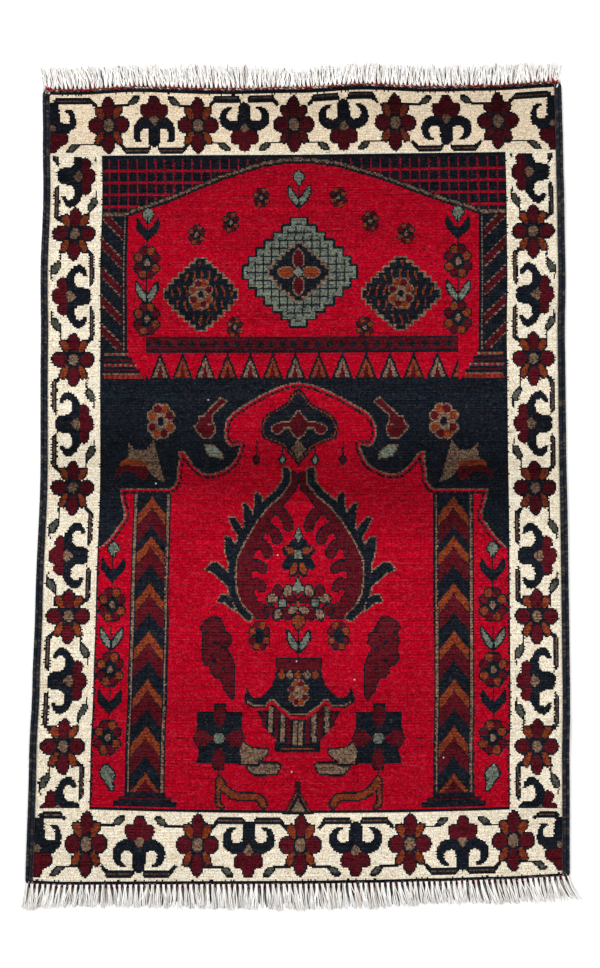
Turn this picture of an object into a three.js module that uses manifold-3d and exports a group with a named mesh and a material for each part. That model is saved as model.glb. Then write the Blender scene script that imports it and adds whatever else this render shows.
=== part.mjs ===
// A knotted wool prayer rug lying flat: the cloth, an overcast cord down each side, and a
// twined strip with its warp fringe at each end.
// Millimetres. The origin is on the floor under the middle of the rug. X runs across the rug,
// Y along it from the foot to the arch end, Z up.

import * as THREE from "three";
import { mergeVertices } from "three/addons/utils/BufferGeometryUtils.js";
import Module from "manifold-3d";

const { MathUtils } = THREE;

// Cloth: pile and ground together, with the pile falling away at the rim.
const clothThickness = 8;
const rimWidth = 5;
const rimDrop = 2.2;
const stepsAcross = 18;
const stepsAlong = 40;

// Side cords: two warp bundles wrapped as one, so the section has two ribs.
const cordWidth = 11;
const cordHeight = 7.4;
const cordSides = 12;
const cordSoleSwell = 1.1;
const waistDepth = 0.3;
const waistSharpness = 8;

// Twined strips across the two ends.
const stripWidth = 5;
const stripHeight = 4.6;
const stripBevel = 1.2;

// Sewn and twined pieces stay this far apart.
const seam = 0.35;

// Where the outer edges of the side cords run, read along the rug.
const sideRows = [
  { y: -640, left: -424, right: 415.5 },
  { y: -450, left: -421.5, right: 418 },
  { y: -330, left: -418.5, right: 421 },
  { y: -210, left: -416, right: 421.5 },
  { y: -30, left: -411.5, right: 421.5 },
  { y: 210, left: -414.5, right: 422.5 },
  { y: 330, left: -417, right: 425.5 },
  { y: 450, left: -414.5, right: 425 },
  { y: 540, left: -417, right: 425 },
  { y: 640, left: -419, right: 424 },
];

// Where the knotting ends, and how far the fringe reaches past the twined strip and leans
// sideways there, read across the rug.
const endRows = [
  { x: -425, arch: 626, archReach: 36, archLean: -10, foot: -633, footReach: 36, footLean: -7 },
  { x: -360, arch: 626, archReach: 34, archLean: -9, foot: -635, footReach: 30, footLean: -5 },
  { x: -270, arch: 631, archReach: 34, archLean: -8, foot: -634.5, footReach: 30, footLean: -2 },
  { x: -130, arch: 625.5, archReach: 39, archLean: -5, foot: -634, footReach: 34, footLean: -3 },
  { x: 0, arch: 628, archReach: 31, archLean: -2, foot: -633.5, footReach: 36, footLean: 1 },
  { x: 100, arch: 636, archReach: 33, archLean: 2, foot: -632, footReach: 35, footLean: 2 },
  { x: 210, arch: 630, archReach: 33, archLean: -1, foot: -629.5, footReach: 31, footLean: 1 },
  { x: 300, arch: 631, archReach: 34, archLean: 0, foot: -627, footReach: 33, footLean: 3 },
  { x: 425, arch: 636.5, archReach: 30, archLean: 1, foot: -621.5, footReach: 32, footLean: 6 },
];

// Soft rolls that storing the rug has left across it: where each crest lies on the centre line,
// how far it slants, how high it stands at each side, and how far it falls away to each end.
const rollRows = [
  { crest: 452, slant: -16, left: 1.4, right: 2.6, toFoot: 80, toArch: 60 },
  { crest: -75, slant: 20, left: 3.2, right: 2.2, toFoot: 150, toArch: 100 },
  { crest: -398, slant: 12, left: 1.6, right: 2.4, toFoot: 70, toArch: 40 },
];

// Fringe: a lock is a bundle of warp ends, narrow at its root and spread at its tip. At a
// parting the locks lean away to both sides.
const archLocks = {
  count: 118,
  inset: 3,
  sections: [
    { along: 0, width: 2.2, height: 2.6 },
    { along: 0.45, width: 3, height: 2.2 },
    { along: 1, width: 3.6, height: 1.2 },
  ],
  wander: 0.9,
  unevenness: 2,
  partings: [-405, -47],
};
const footLocks = {
  count: 100,
  inset: 2,
  sections: [
    { along: 0, width: 2.6, height: 2.8 },
    { along: 0.16, width: 4, height: 3.8 },
    { along: 0.32, width: 3.4, height: 2.6 },
    { along: 1, width: 6, height: 1.4 },
  ],
  wander: 0.8,
  unevenness: 1.6,
  partings: [-347, -195],
};
const lockRootDepth = 3;
const lockRootLift = 0.5;
const lockShoulder = 0.6;
const partingSpread = 2.6;
const partingReach = 30;

const colours = {
  cloth: 0x9a1426,
  cord: 0x21242c,
  fringe: 0xe0ddd6,
};

// The value of one column at a place, eased from row to row.
function between(rows, key, at, column) {
  const found = rows.findIndex((row) => row[key] >= at);
  const high = found < 0 ? rows.length - 1 : Math.max(found, 1);
  const [near, far] = [rows[high - 1], rows[high]];
  return MathUtils.lerp(near[column], far[column], MathUtils.smoothstep(at, near[key], far[key]));
}

const leftEdge = (y) => between(sideRows, "y", y, "left");
const rightEdge = (y) => between(sideRows, "y", y, "right");
const archEdge = (x) => between(endRows, "x", x, "arch");
const footEdge = (x) => between(endRows, "x", x, "foot");

// How far the cloth is off the floor.
function lift(x, y) {
  const across = MathUtils.inverseLerp(leftEdge(y), rightEdge(y), x);
  return rollRows.reduce((sum, roll) => {
    const away = y - roll.crest - roll.slant * (across - 0.5);
    const reach = away < 0 ? roll.toFoot : roll.toArch;
    const fall = Math.min(Math.abs(away) / reach, 1);
    const height = MathUtils.lerp(roll.left, roll.right, across);
    return sum + height * 0.5 * (1 + Math.cos(Math.PI * fall));
  }, 0);
}

// A repeatable uneven amount from -1 to 1.
function uneven(index, column) {
  const wave = Math.sin(index * 12.9898 + column * 78.233) * 43758.5453;
  return 2 * (wave - Math.floor(wave)) - 1;
}

// Moves every corner of a primitive and leaves one closed body with shared corners.
function shaped(geometry, place) {
  geometry.deleteAttribute("normal");
  geometry.deleteAttribute("uv");
  const body = mergeVertices(geometry, 1e-5);
  const points = body.getAttribute("position");
  const corner = new THREE.Vector3();
  for (let i = 0; i < points.count; i += 1) {
    corner.fromBufferAttribute(points, i);
    points.setXYZ(i, ...place(corner));
  }
  return body;
}

// The fraction that a step is along a length: even, but for a narrow step at each rim.
function fractionOf(step, steps, length) {
  const rim = rimWidth / length;
  if (step <= 0 || step >= steps) return MathUtils.clamp(step, 0, 1);
  return MathUtils.mapLinear(step, 1, steps - 1, rim, 1 - rim);
}

// Places on the cloth, by steps: those across it share their fractions with the strips, and
// those along it with the side cords, so that what is sewn together stays parallel.
function acrossCloth(step, y) {
  const low = leftEdge(y) + cordWidth + seam;
  const high = rightEdge(y) - cordWidth - seam;
  return MathUtils.lerp(low, high, fractionOf(step, stepsAcross, high - low));
}

function alongCloth(step, x) {
  const [low, high] = [footEdge(x), archEdge(x)];
  return MathUtils.lerp(low, high, fractionOf(step, stepsAlong, archEdge(0) - footEdge(0)));
}

// The knotted cloth is one sheet that follows the outline and the rolls.
function clothGeometry() {
  const box = new THREE.BoxGeometry(1, 1, 1, stepsAcross, stepsAlong, 1);
  return shaped(box, (corner) => {
    const across = Math.round((corner.x + 0.5) * stepsAcross);
    const along = Math.round((corner.y + 0.5) * stepsAlong);
    const x = acrossCloth(across, alongCloth(along, 0));
    const y = alongCloth(along, x);
    const onRim = across % stepsAcross === 0 || along % stepsAlong === 0;
    const top = clothThickness - (onRim ? rimDrop : 0);
    return [x, y, lift(x, y) + (corner.z > 0 ? top : 0)];
  });
}

// A side cord runs from strip to strip, with a flat sole and a waist between its two ribs.
function cordGeometry(edgeAt, inward) {
  const tube = new THREE.CylinderGeometry(1, 1, 1, cordSides, stepsAlong, false);
  return shaped(tube, (corner) => {
    const out = Math.hypot(corner.x, corner.z);
    const sine = out > 0 ? corner.z / out : 0;
    const swell = sine < 0 ? cordSoleSwell : 1 - waistDepth * sine ** waistSharpness;
    const rise = Math.max(out * Math.sign(sine) * Math.sqrt(Math.abs(sine)) * swell, -1);
    const along = Math.round((corner.y + 0.5) * stepsAlong);
    const x = edgeAt(alongCloth(along, 0)) + (inward + corner.x) * cordWidth * 0.5;
    const y = alongCloth(along, x);
    return [x, y, lift(x, y) + (1 + rise) * cordHeight * 0.5];
  });
}

// A twined strip lies across one end, just past the knotting and the ends of the side cords.
function stripGeometry(edgeAt, outward) {
  const steps = stepsAcross + 2;
  const box = new THREE.BoxGeometry(1, 1, 1, steps, 1, 2);
  const line = edgeAt(0);
  return shaped(box, (corner) => {
    const step = Math.round((corner.x + 0.5) * steps);
    let x = acrossCloth(step - 1, line);
    if (step === 0) x = leftEdge(line);
    if (step === steps) x = rightEdge(line);
    const bevel = corner.z > 0 ? stripBevel : 0;
    const out = seam + (outward * corner.y > 0 ? stripWidth - bevel : bevel);
    return [x, edgeAt(x) + outward * out, (corner.z + 0.5) * stripHeight];
  });
}

// One lock of fringe, lying level on the floor.
function lockGeometry(root, tip, sections) {
  const steps = sections.length - 1;
  const box = new THREE.BoxGeometry(1, 1, 1, 1, steps, 1);
  const run = tip.clone().sub(root);
  const side = new THREE.Vector2(run.y, -run.x).normalize();
  return shaped(box, (corner) => {
    const section = sections[Math.round((corner.y + 0.5) * steps)];
    const width = section.width * (corner.z > 0 ? lockShoulder : 1);
    const place = root.clone().addScaledVector(run, section.along);
    place.addScaledVector(side, corner.x * width);
    const sole = section.along === 0 ? lockRootLift : 0;
    return [place.x, place.y, corner.z > 0 ? section.height : sole];
  });
}

const wasm = await Module();
wasm.setup();

function toSolid(geometry) {
  const vertProperties = new Float32Array(geometry.getAttribute("position").array);
  const triVerts = new Uint32Array(geometry.getIndex().array);
  return new wasm.Manifold(new wasm.Mesh({ numProp: 3, vertProperties, triVerts }));
}

function toGeometry(solid) {
  const { vertProperties, triVerts } = solid.getMesh();
  const geometry = new THREE.BufferGeometry();
  geometry.setAttribute("position", new THREE.BufferAttribute(vertProperties, 3));
  geometry.setIndex(new THREE.BufferAttribute(triVerts, 1));
  return geometry;
}

// How much further a lock leans because a parting is near.
function partingLean(x, partings) {
  return partings.reduce((sum, parting) => {
    const away = x - parting;
    return sum + Math.sign(away) * partingSpread * Math.max(0, 1 - Math.abs(away) / partingReach);
  }, 0);
}

// A strip with its row of locks, joined as one body.
function fringeGeometry(edgeAt, outward, end, locks) {
  const line = edgeAt(0);
  const first = leftEdge(line) + locks.inset;
  const last = rightEdge(line) - locks.inset;
  let solid = toSolid(stripGeometry(edgeAt, outward));
  for (let i = 0; i < locks.count; i += 1) {
    const x = MathUtils.lerp(first, last, i / (locks.count - 1));
    const out = seam + stripWidth;
    const reach = between(endRows, "x", x, `${end}Reach`) + locks.unevenness * uneven(i, 1);
    const lean = between(endRows, "x", x, `${end}Lean`) + partingLean(x, locks.partings);
    const root = new THREE.Vector2(x, edgeAt(x) + outward * (out - lockRootDepth));
    const tip = new THREE.Vector2(x + lean + locks.wander * uneven(i, 2), 0);
    tip.y = edgeAt(x) + outward * (out + reach);
    solid = solid.add(toSolid(lockGeometry(root, tip, locks.sections)));
  }
  return toGeometry(solid);
}

function piece(name, geometry, color, roughness) {
  geometry.computeVertexNormals();
  const material = new THREE.MeshStandardMaterial({ color, roughness, metalness: 0 });
  const mesh = new THREE.Mesh(geometry, material);
  mesh.name = name;
  return mesh;
}

const rug = new THREE.Group();
rug.add(
  piece("rug_cloth", clothGeometry(), colours.cloth, 0.95),
  piece("side_cord_left", cordGeometry(leftEdge, 1), colours.cord, 0.9),
  piece("side_cord_right", cordGeometry(rightEdge, -1), colours.cord, 0.9),
  piece("fringe_arch_end", fringeGeometry(archEdge, 1, "arch", archLocks), colours.fringe, 0.9),
  piece("fringe_foot_end", fringeGeometry(footEdge, -1, "foot", footLocks), colours.fringe, 0.9),
);

export default rug;
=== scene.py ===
import math

import bmesh
import bpy
import numpy as np
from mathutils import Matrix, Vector


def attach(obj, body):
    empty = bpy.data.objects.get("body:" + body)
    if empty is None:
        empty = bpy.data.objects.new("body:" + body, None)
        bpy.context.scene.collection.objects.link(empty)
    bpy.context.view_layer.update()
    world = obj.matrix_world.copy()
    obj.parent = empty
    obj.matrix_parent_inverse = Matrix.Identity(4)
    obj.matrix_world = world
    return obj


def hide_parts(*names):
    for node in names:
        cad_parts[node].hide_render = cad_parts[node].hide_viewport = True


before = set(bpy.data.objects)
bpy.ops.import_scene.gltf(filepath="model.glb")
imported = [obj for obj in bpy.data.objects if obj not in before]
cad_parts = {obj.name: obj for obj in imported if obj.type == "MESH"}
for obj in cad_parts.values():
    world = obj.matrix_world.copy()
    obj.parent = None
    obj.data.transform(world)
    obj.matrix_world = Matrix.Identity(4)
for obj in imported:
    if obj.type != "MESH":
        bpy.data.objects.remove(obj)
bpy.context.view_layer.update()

millimetre = 0.001
scene = bpy.context.scene

# Camera over the rug, nearly straight down
cameraSettings = {"elevation": 85.2, "distance": 2.0, "lens": 46.9, "sensor": 36, "shiftX": -0.0004,
                  "shiftY": -0.0105}
tilt = math.radians(cameraSettings["elevation"])
distance = cameraSettings["distance"]
cameraData = bpy.data.cameras.new("camera")
cameraData.lens = cameraSettings["lens"]
cameraData.sensor_width = cameraSettings["sensor"]
cameraData.shift_x = cameraSettings["shiftX"]
cameraData.shift_y = cameraSettings["shiftY"]
cameraObject = bpy.data.objects.new("camera", cameraData)
cameraObject.location = (0, -distance * math.cos(tilt), distance * math.sin(tilt))
cameraObject.rotation_euler = (-Vector(cameraObject.location)).to_track_quat("-Z", "Y").to_euler()
scene.collection.objects.link(cameraObject)
scene.camera = cameraObject

# Edges and soft rolls of the cloth, in millimetres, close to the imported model's
sideRows = [
    {"y": -640, "left": -424, "right": 415.5}, {"y": -450, "left": -421.5, "right": 418},
    {"y": -330, "left": -418.5, "right": 421}, {"y": -210, "left": -416, "right": 421.5},
    {"y": -30, "left": -411.5, "right": 421.5}, {"y": 210, "left": -414.5, "right": 422.5},
    {"y": 330, "left": -417, "right": 425.5}, {"y": 450, "left": -414.5, "right": 425},
    {"y": 540, "left": -417, "right": 425}, {"y": 640, "left": -419, "right": 424}]
endRows = [
    {"x": -425, "arch": 622.5, "archReach": 39, "archLean": -10, "foot": -633, "footReach": 36, "footLean": -7},
    {"x": -360, "arch": 623, "archReach": 37, "archLean": -9, "foot": -635, "footReach": 30, "footLean": -5},
    {"x": -270, "arch": 628, "archReach": 37, "archLean": -8, "foot": -634.5, "footReach": 30, "footLean": -1},
    {"x": -130, "arch": 624.5, "archReach": 40, "archLean": -5, "foot": -634, "footReach": 34, "footLean": 2},
    {"x": 0, "arch": 627, "archReach": 32, "archLean": -2, "foot": -633.5, "footReach": 36, "footLean": 4},
    {"x": 100, "arch": 632.5, "archReach": 36, "archLean": 2, "foot": -632, "footReach": 35, "footLean": 6},
    {"x": 210, "arch": 628.5, "archReach": 34, "archLean": -1, "foot": -629.5, "footReach": 31, "footLean": 6},
    {"x": 300, "arch": 630, "archReach": 35, "archLean": 0, "foot": -627, "footReach": 33, "footLean": 9},
    {"x": 425, "arch": 636.5, "archReach": 30, "archLean": 1, "foot": -621.5, "footReach": 32, "footLean": 14}]
rollRows = [
    {"crest": 452, "slant": -16, "left": 1.4, "right": 2.6, "toFoot": 80, "toArch": 60},
    {"crest": -75, "slant": 20, "left": 3.2, "right": 2.2, "toFoot": 150, "toArch": 100},
    {"crest": -398, "slant": 12, "left": 1.6, "right": 2.4, "toFoot": 70, "toArch": 40}]
# The field's ends as they lie: the arch end climbs evenly to the right, the foot bows towards the fringe
fieldEnds = {"half": 320, "archLeft": 516, "archRight": 522, "foot": -522, "footBow": 6}
# The woven design isn't quite square: its left side stands in, and it sinks towards the arch end, most in
# the middle
drift = {"leftInward": 3, "footRise": 2, "archSink": 4, "halfAcross": 400, "halfAlong": 600, "fade": 16}
cloth = {"thickness": 8.0, "rimWidth": 5.0, "rimDrop": 2.2, "cordWidth": 11.0, "cordHeight": 7.4,
         "stripWidth": 5.0, "stripHeight": 4.6, "seam": 0.35}


def between(rows, key, at, column):
    # a table's value, eased from one row to the next
    places = np.array([row[key] for row in rows], float)
    values = np.array([row[column] for row in rows], float)
    at = np.asarray(at, float)
    low = np.clip(np.searchsorted(places, at) - 1, 0, len(places) - 2)
    share = np.clip((at - places[low]) / (places[low + 1] - places[low]), 0, 1)
    return values[low] + (values[low + 1] - values[low]) * share * share * (3 - 2 * share)


def leftEdge(y):
    return between(sideRows, "y", y, "left")


def rightEdge(y):
    return between(sideRows, "y", y, "right")


def lift(x, y):
    # how far the rolls raise the cloth off the floor
    across = (x - leftEdge(y)) / (rightEdge(y) - leftEdge(y))
    raised = 0
    for roll in rollRows:
        away = y - roll["crest"] - roll["slant"] * (across - 0.5)
        reach = np.where(away < 0, roll["toFoot"], roll["toArch"])
        share = np.minimum(np.abs(away) / reach, 1)
        raised = raised + (roll["left"] + (roll["right"] - roll["left"]) * across) * 0.5 * (
            1 + np.cos(math.pi * share))
    return raised


def fieldEdges(x):
    # where the field's foot and arch ends lie
    fromMiddle = np.clip(x / fieldEnds["half"], -1, 1)
    climb = fieldEnds["archRight"] - fieldEnds["archLeft"]
    foot = fieldEnds["foot"] - fieldEnds["footBow"] * (1 - fromMiddle ** 2)
    return foot, fieldEnds["archLeft"] + climb * (fromMiddle + 1) / 2


def onCloth(chartX, chartY):
    # from the true chart to the rug as it lies; each round takes the ends at a better place across
    guess = chartX.astype(float)
    for _ in range(3):
        fieldFoot, fieldArch = fieldEdges(guess)
        guides = [between(endRows, "x", guess, "foot"), fieldFoot, 0 * guess, fieldArch,
                  between(endRows, "x", guess, "arch")]
        marks = [knotting["foot"], knotting["fieldFoot"], 0, knotting["fieldArch"], knotting["arch"]]
        y = np.zeros_like(guess)
        for number in range(4):
            share = (chartY - marks[number]) / (marks[number + 1] - marks[number])
            part = guides[number] + (guides[number + 1] - guides[number]) * share
            y = np.where(chartY >= marks[number], part, y)
        inset = cloth["cordWidth"] + cloth["seam"]
        left, right = leftEdge(y) + inset, rightEdge(y) - inset
        guess = left + (right - left) * (chartX - knotting["left"]) / (knotting["right"] - knotting["left"])
    # the drift fades out towards the cloth's edges
    toEdge = np.minimum(np.minimum(guess - left, right - guess),
                        np.minimum(chartY - knotting["foot"], knotting["arch"] - chartY))
    fade = np.clip(toEdge / drift["fade"], 0, 1)
    across = np.clip(guess / drift["halfAcross"], -1, 1)
    toArch = np.clip((y + drift["halfAlong"]) / (2 * drift["halfAlong"]), 0, 1)
    right = drift["leftInward"] * np.maximum(-across, 0)
    up = (drift["footRise"] * (1 - toArch) - drift["archSink"] * toArch) * (1 - 0.5 * np.abs(across))
    return guess + fade * right, y + fade * up


# Chart of the design, one cell for each knot. Chart measures are millimetres on a rug with true edges.
knotting = {"across": 378, "along": 574, "left": -407.0, "right": 407.0, "foot": -632.0, "arch": 630.0,
            "fieldFoot": -524.0, "fieldArch": 519.0, "fieldSide": 325.5}
dyeNames = ["ivory", "red", "navy", "burgundy", "brown", "taupe", "sage", "wine", "lattice", "moss", "umber"]
dyeNumber = {name: number for number, name in enumerate(dyeNames)}
knotX = knotting["left"] + (np.arange(knotting["across"]) + 0.5) * (
    knotting["right"] - knotting["left"]) / knotting["across"]
knotY = knotting["foot"] + (np.arange(knotting["along"]) + 0.5) * (
    knotting["arch"] - knotting["foot"]) / knotting["along"]
hand = np.random.default_rng(11)
chartX, chartY = np.meshgrid(knotX, knotY)
# rows of knots step a little from side to side, so upright edges come out toothed
stepAside = 0.3 * (-1.0) ** np.arange(knotting["along"]) + hand.uniform(-0.7, 0.7, knotting["along"])
chartX = chartX + stepAside[:, None] * np.where(np.abs(chartX) > knotting["fieldSide"] - 4, 1, 0.5)
chart = np.zeros(chartX.shape, np.int8)

# The weaver's middle line wanders; the niche is drawn from it, and mirrored on it.
middleRows = [{"y": -524, "x": -1.2}, {"y": -400, "x": -3.2}, {"y": -200, "x": -6.3}, {"y": 0, "x": -8.3},
              {"y": 200, "x": -7.5}, {"y": 519, "x": -7.6}]
middleX = np.interp(chartY, [row["y"] for row in middleRows], [row["x"] for row in middleRows])
nicheX = np.where(chartX > middleX, (chartX - middleX) / (knotting["fieldSide"] - middleX),
                  (chartX - middleX) / (knotting["fieldSide"] + middleX)) * 326
aside = np.abs(nicheX)


def beyond(x, y, points, closed=True):
    # distance outside an outline, negative inside it
    nearest = np.full(x.shape, 1e9)
    inside = np.zeros(x.shape, bool)
    ends = points[1:] + points[:1] if closed else points[1:]
    for (startX, startY), (endX, endY) in zip(points, ends):
        runX, runY = endX - startX, endY - startY
        share = ((x - startX) * runX + (y - startY) * runY) / (runX * runX + runY * runY + 1e-9)
        share = np.clip(share, 0, 1)
        gap = (x - startX - share * runX) ** 2 + (y - startY - share * runY) ** 2
        nearest = np.minimum(nearest, gap)
        if closed and startY != endY:
            crosses = (startY > y) != (endY > y)
            inside ^= crosses & (x < startX + runX * (y - startY) / runY)
    return np.sqrt(nearest) * np.where(inside, -1, 1)


def petal(x, y, halfWide, halfTall, lean=0.0, pointed=0.0):
    points = []
    for turn in range(16):
        angle = turn * math.pi / 8
        narrow = 1 - pointed * max(math.cos(angle), 0) ** 3
        alongX, alongY = halfWide * math.sin(angle) * narrow, halfTall * math.cos(angle)
        tilt = math.radians(lean)
        points.append((x + alongX * math.cos(tilt) + alongY * math.sin(tilt),
                       y - alongX * math.sin(tilt) + alongY * math.cos(tilt)))
    return points


def lozenge(x, y, halfWide, halfTall):
    return [(x, y + halfTall), (x + halfWide, y), (x, y - halfTall), (x - halfWide, y)]


def block(left, low, right, high):
    return [(left, low), (right, low), (right, high), (left, high)]


def area(dye, at, rim=0, line=0, edge="navy"):
    # one area of a motif: its dye, its outline or the points of a line so wide, and a rim of another dye
    return {"dye": dye, "at": at, "rim": rim, "line": line, "edge": edge}


def both(rows):
    # each row again on the other side of the motif's own middle
    mirrored = [dict(row, at=[(-x, y) for x, y in row["at"]]) for row in rows]
    return list(rows) + mirrored


def knotMotif(rows, x=0.0, y=0.0, turn=0, flip=1, wide=1.0, tall=1.0, niche=False, half=False, swap=None):
    # all the outlines of a motif are tied first, then its fills
    places = [point for row in rows for point in row["at"]]
    reach = max(max(abs(placeX * wide), abs(placeY * tall)) for placeX, placeY in places) + 12
    acrossField = aside if half else nicheX if niche else chartX
    near = np.nonzero(np.abs(knotY - y) < reach)[0]
    if near.size == 0:
        return
    rowsNear = slice(near[0], near[-1] + 1)
    sideX = acrossField[rowsNear]
    close = np.nonzero(np.any(np.abs(sideX - x) < reach, axis=0))[0]
    if close.size == 0:
        return
    window = (rowsNear, slice(close[0], close[-1] + 1))
    outX, outY = acrossField[window] - x, chartY[window] - y
    for _ in range(turn % 4):
        outX, outY = outY, -outX
    outX, outY = outX / wide, outY * flip / tall
    patch = chart[window]
    swapped = {name: name for name in dyeNames} | (swap or {})
    drawn = [beyond(outX, outY, row["at"], not row["line"]) - row["line"] / 2 for row in rows]
    for row, away in zip(rows, drawn):
        if row["rim"]:
            patch[away < row["rim"]] = dyeNumber[swapped[row["edge"]]]
    for row, away in zip(rows, drawn):
        patch[away < 0] = dyeNumber[swapped[row["dye"]]]


def onBothSides(rows, x, y):
    # a motif of the niche, and its mirror image over the middle line
    for sideSign in (-1, 1):
        knotMotif(rows, sideSign * x, y, niche=True, wide=-sideSign)


def fill(mask, dye):
    chart[mask] = dyeNumber[dye]


# Border motifs, drawn with the flower up and the stem down.
rosette = [area("navy", petal(0, 0, 17, 19))] + both([
    area("brown", [(8, 11), (7.5, 18), (9.5, 27), (13.5, 31), (20.5, 30), (20, 22), (15.5, 14), (12, 10)],
        rim=2.6),
    area("brown", [(8, -11), (13, -10.5), (19, -19), (21.5, -30), (15, -31), (10, -24)], rim=2.6),
    area("burgundy", petal(20.3, 0, 10.8, 12), rim=2.8)]) + [
    area("burgundy", petal(0, 29.5, 8.8, 16.5, 0, 0.3), rim=2.8),
    area("burgundy", petal(0, -29.5, 8.8, 16.5, 180, 0.3), rim=2.8),
    area("taupe", petal(0, 0, 8.2, 11), rim=1.8)]
sideRosette = [area("navy", petal(0, 0, 17, 17))] + both([
    area("brown", [(9, 12), (8, 18), (10, 26), (13.5, 30.5), (21, 29), (20.5, 22), (15, 14.5)], rim=2.6),
    area("brown", [(8, -10), (13, -10), (19, -18), (21.5, -28.5), (15, -30.5), (10, -23)], rim=2.6),
    area("burgundy", petal(21.4, 0, 10.4, 10.8), rim=2.8)]) + [
    area("burgundy", petal(0, 26.5, 8.4, 14.4, 0, 0.25), rim=2.8),
    area("burgundy", petal(0, -27.5, 8.4, 15, 180, 0.3), rim=2.8),
    area("taupe", petal(0, 0, 7.6, 9), rim=1.8)]


def makePalmette(arm, barTop, barEnd):
    # the arm's outline, then how far below the middle the leafy bar is and how far out it goes
    return both([area("navy", [(0, 9), (15, 9)] + arm + [(9.8, -35), (5, -40), (0, -42)]),
        area("burgundy", [(0, 40.5), (5, 40), (7.3, 36), (8.5, 31), (10.5, 28), (17, 28), (21, 25.5),
            (21.5, 16), (18, 10), (14, 6.5), (0, 5)], rim=1.8),
        area("navy", [(5, barTop + 4), (9, barTop), (barEnd, barTop), (barEnd + 9, barTop + 8),
            (barEnd + 13, barTop + 5), (barEnd + 6, barTop - 5), (barEnd + 1, barTop - 11),
            (10, barTop - 11), (6, barTop - 5)]),
        area("umber", [(11, barTop - 5.6), (barEnd, barTop - 5.6)], line=2.4),
        area("navy", [(38, 27.5), (66, 26.5)], line=3.4),
        area("moss", [(25, 38.5), (31, 38.5), (36, 35), (40, 29.5), (34, 29), (29, 32)], rim=2.9)]) + [
        area("taupe", [(-4, 9), (4, 9), (7.5, 4), (4, -2), (0, -7), (-4, -2), (-7.5, 4)])]


straightArm = [(21, 7.7), (27, 3), (31, -3.5), (33, -9), (33, -25), (31.5, -32), (21, -33.5), (19, -30.5),
    (22.5, -28), (22.5, -16), (19, -12.5), (10, -12.5)]
curledArm = [(25, 7), (33, 3), (39, -4), (41, -12), (40, -21), (35, -29.5), (27, -33.5), (19.5, -33),
    (19.5, -30), (25, -26.5), (28, -20), (27.5, -14), (23, -10), (17, -9), (11, -12)]
palmette = makePalmette(curledArm, -41, 45)
straightPalmette = makePalmette(straightArm, -41, 45)
footPalmette = makePalmette(curledArm, -36.6, 47)
sidePalmette = both([
    area("navy", [(0, 9), (30, 9), (38, 5), (46, 0), (51, -6), (52.5, -12), (51, -18), (46, -22), (40, -25),
        (34, -26), (34, -19), (37, -18), (39, -14), (38, -9), (33, -6), (26, -6), (20, -7), (15, -12),
        (14, -24), (12, -29), (7, -32), (0, -32)]),
    area("burgundy", [(0, 28), (7, 27), (11, 23.5), (12.5, 18), (17, 20.5), (23, 21), (28, 18), (30.5, 13),
        (28, 8.5), (20, 7), (0, 7)], rim=1.8),
    area("navy", [(13, -29), (17, -30), (23, -28.8), (66, -28.8), (74, -22), (78, -26), (71, -35),
        (66, -37), (24, -37), (17, -33)]), area("umber", [(24, -33), (67, -33)], line=2.4),
    area("navy", [(55, 18), (64, 17.5), (78, 18)], line=3), area("navy", [(26, 29), (38, 30.5)], line=2.6),
    area("moss", [(37, 28.5), (38, 24), (50, 18), (57, 19), (50, 26.5), (43, 30)], rim=2.6)]) + [
    area("taupe", [(-10, 3), (-4, 7), (4, 7), (10, 3), (6, -3), (0, -8), (-6, -3)])]

# Where the motifs of the border are. A palmette's flower is turned up the rug where up is 1.
endPalmettes = [{"motif": straightPalmette, "x": -240, "y": 576, "up": 1},
    {"motif": palmette, "x": -94, "y": 569, "up": -1}, {"motif": palmette, "x": 66, "y": 569, "up": -1},
    {"motif": palmette, "x": 231, "y": 576, "up": 1},
    {"motif": footPalmette, "x": -246, "y": -574, "up": 1},
    {"motif": footPalmette, "x": -76.5, "y": -580, "up": -1},
    {"motif": footPalmette, "x": 88.5, "y": -580, "up": -1},
    {"motif": footPalmette, "x": 253, "y": -575, "up": 1}]
endRosettes = [(-314, 571), (-169, 571), (-14, 572), (149, 572), (314, 573), (-328.5, -574), (-156, -574),
    (3.5, -574), (172, -574), (331, -573)]
darkRosettes = [(-14, 572), (314, 573)]  # where the brown petals are wine
sideRosettes = [390, 184, -22, -225, -427]
sidePalmettes = [485, 287, 80, -130, -326, -526]  # turned inward and outward by turns
# Half a palmette at each corner, cut by the side cord
cornerPalmette = [
    area("navy", [(29, 38), (17, 37), (13, 27), (12.5, 6), (8, 3), (-2, 3), (-4, 11), (-1, 19), (5, 22),
        (4, 26), (-8, 25), (-12, 16), (-14, 5), (-12, -7), (-4, -11), (-3, -16), (29, -17)]),
    area("navy", [(14, 31), (18, 34), (22, 40), (16, 45.5), (-37, 45.5), (-42, 40), (-50, 33), (-45, 29),
        (-38, 34.5), (13, 34.5)]), area("umber", [(14, 40.2), (-37, 40.2)], line=3),
    area("burgundy", [(29, -15), (4, -15), (1.5, -21), (1.5, -30), (8, -35), (14, -38), (19, -49),
        (29, -50)], rim=2), area("taupe", [(29, -1), (19, -3), (17, -8), (21, -14), (29, -15)]),
    area("navy", [(-14, -34.5), (-60, -35)], line=3.2),
    area("moss", [(0, -46), (-6, -46.5), (-13, -40), (-17, -35.5), (-9, -36), (-4, -40)], rim=2.9)]

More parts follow.
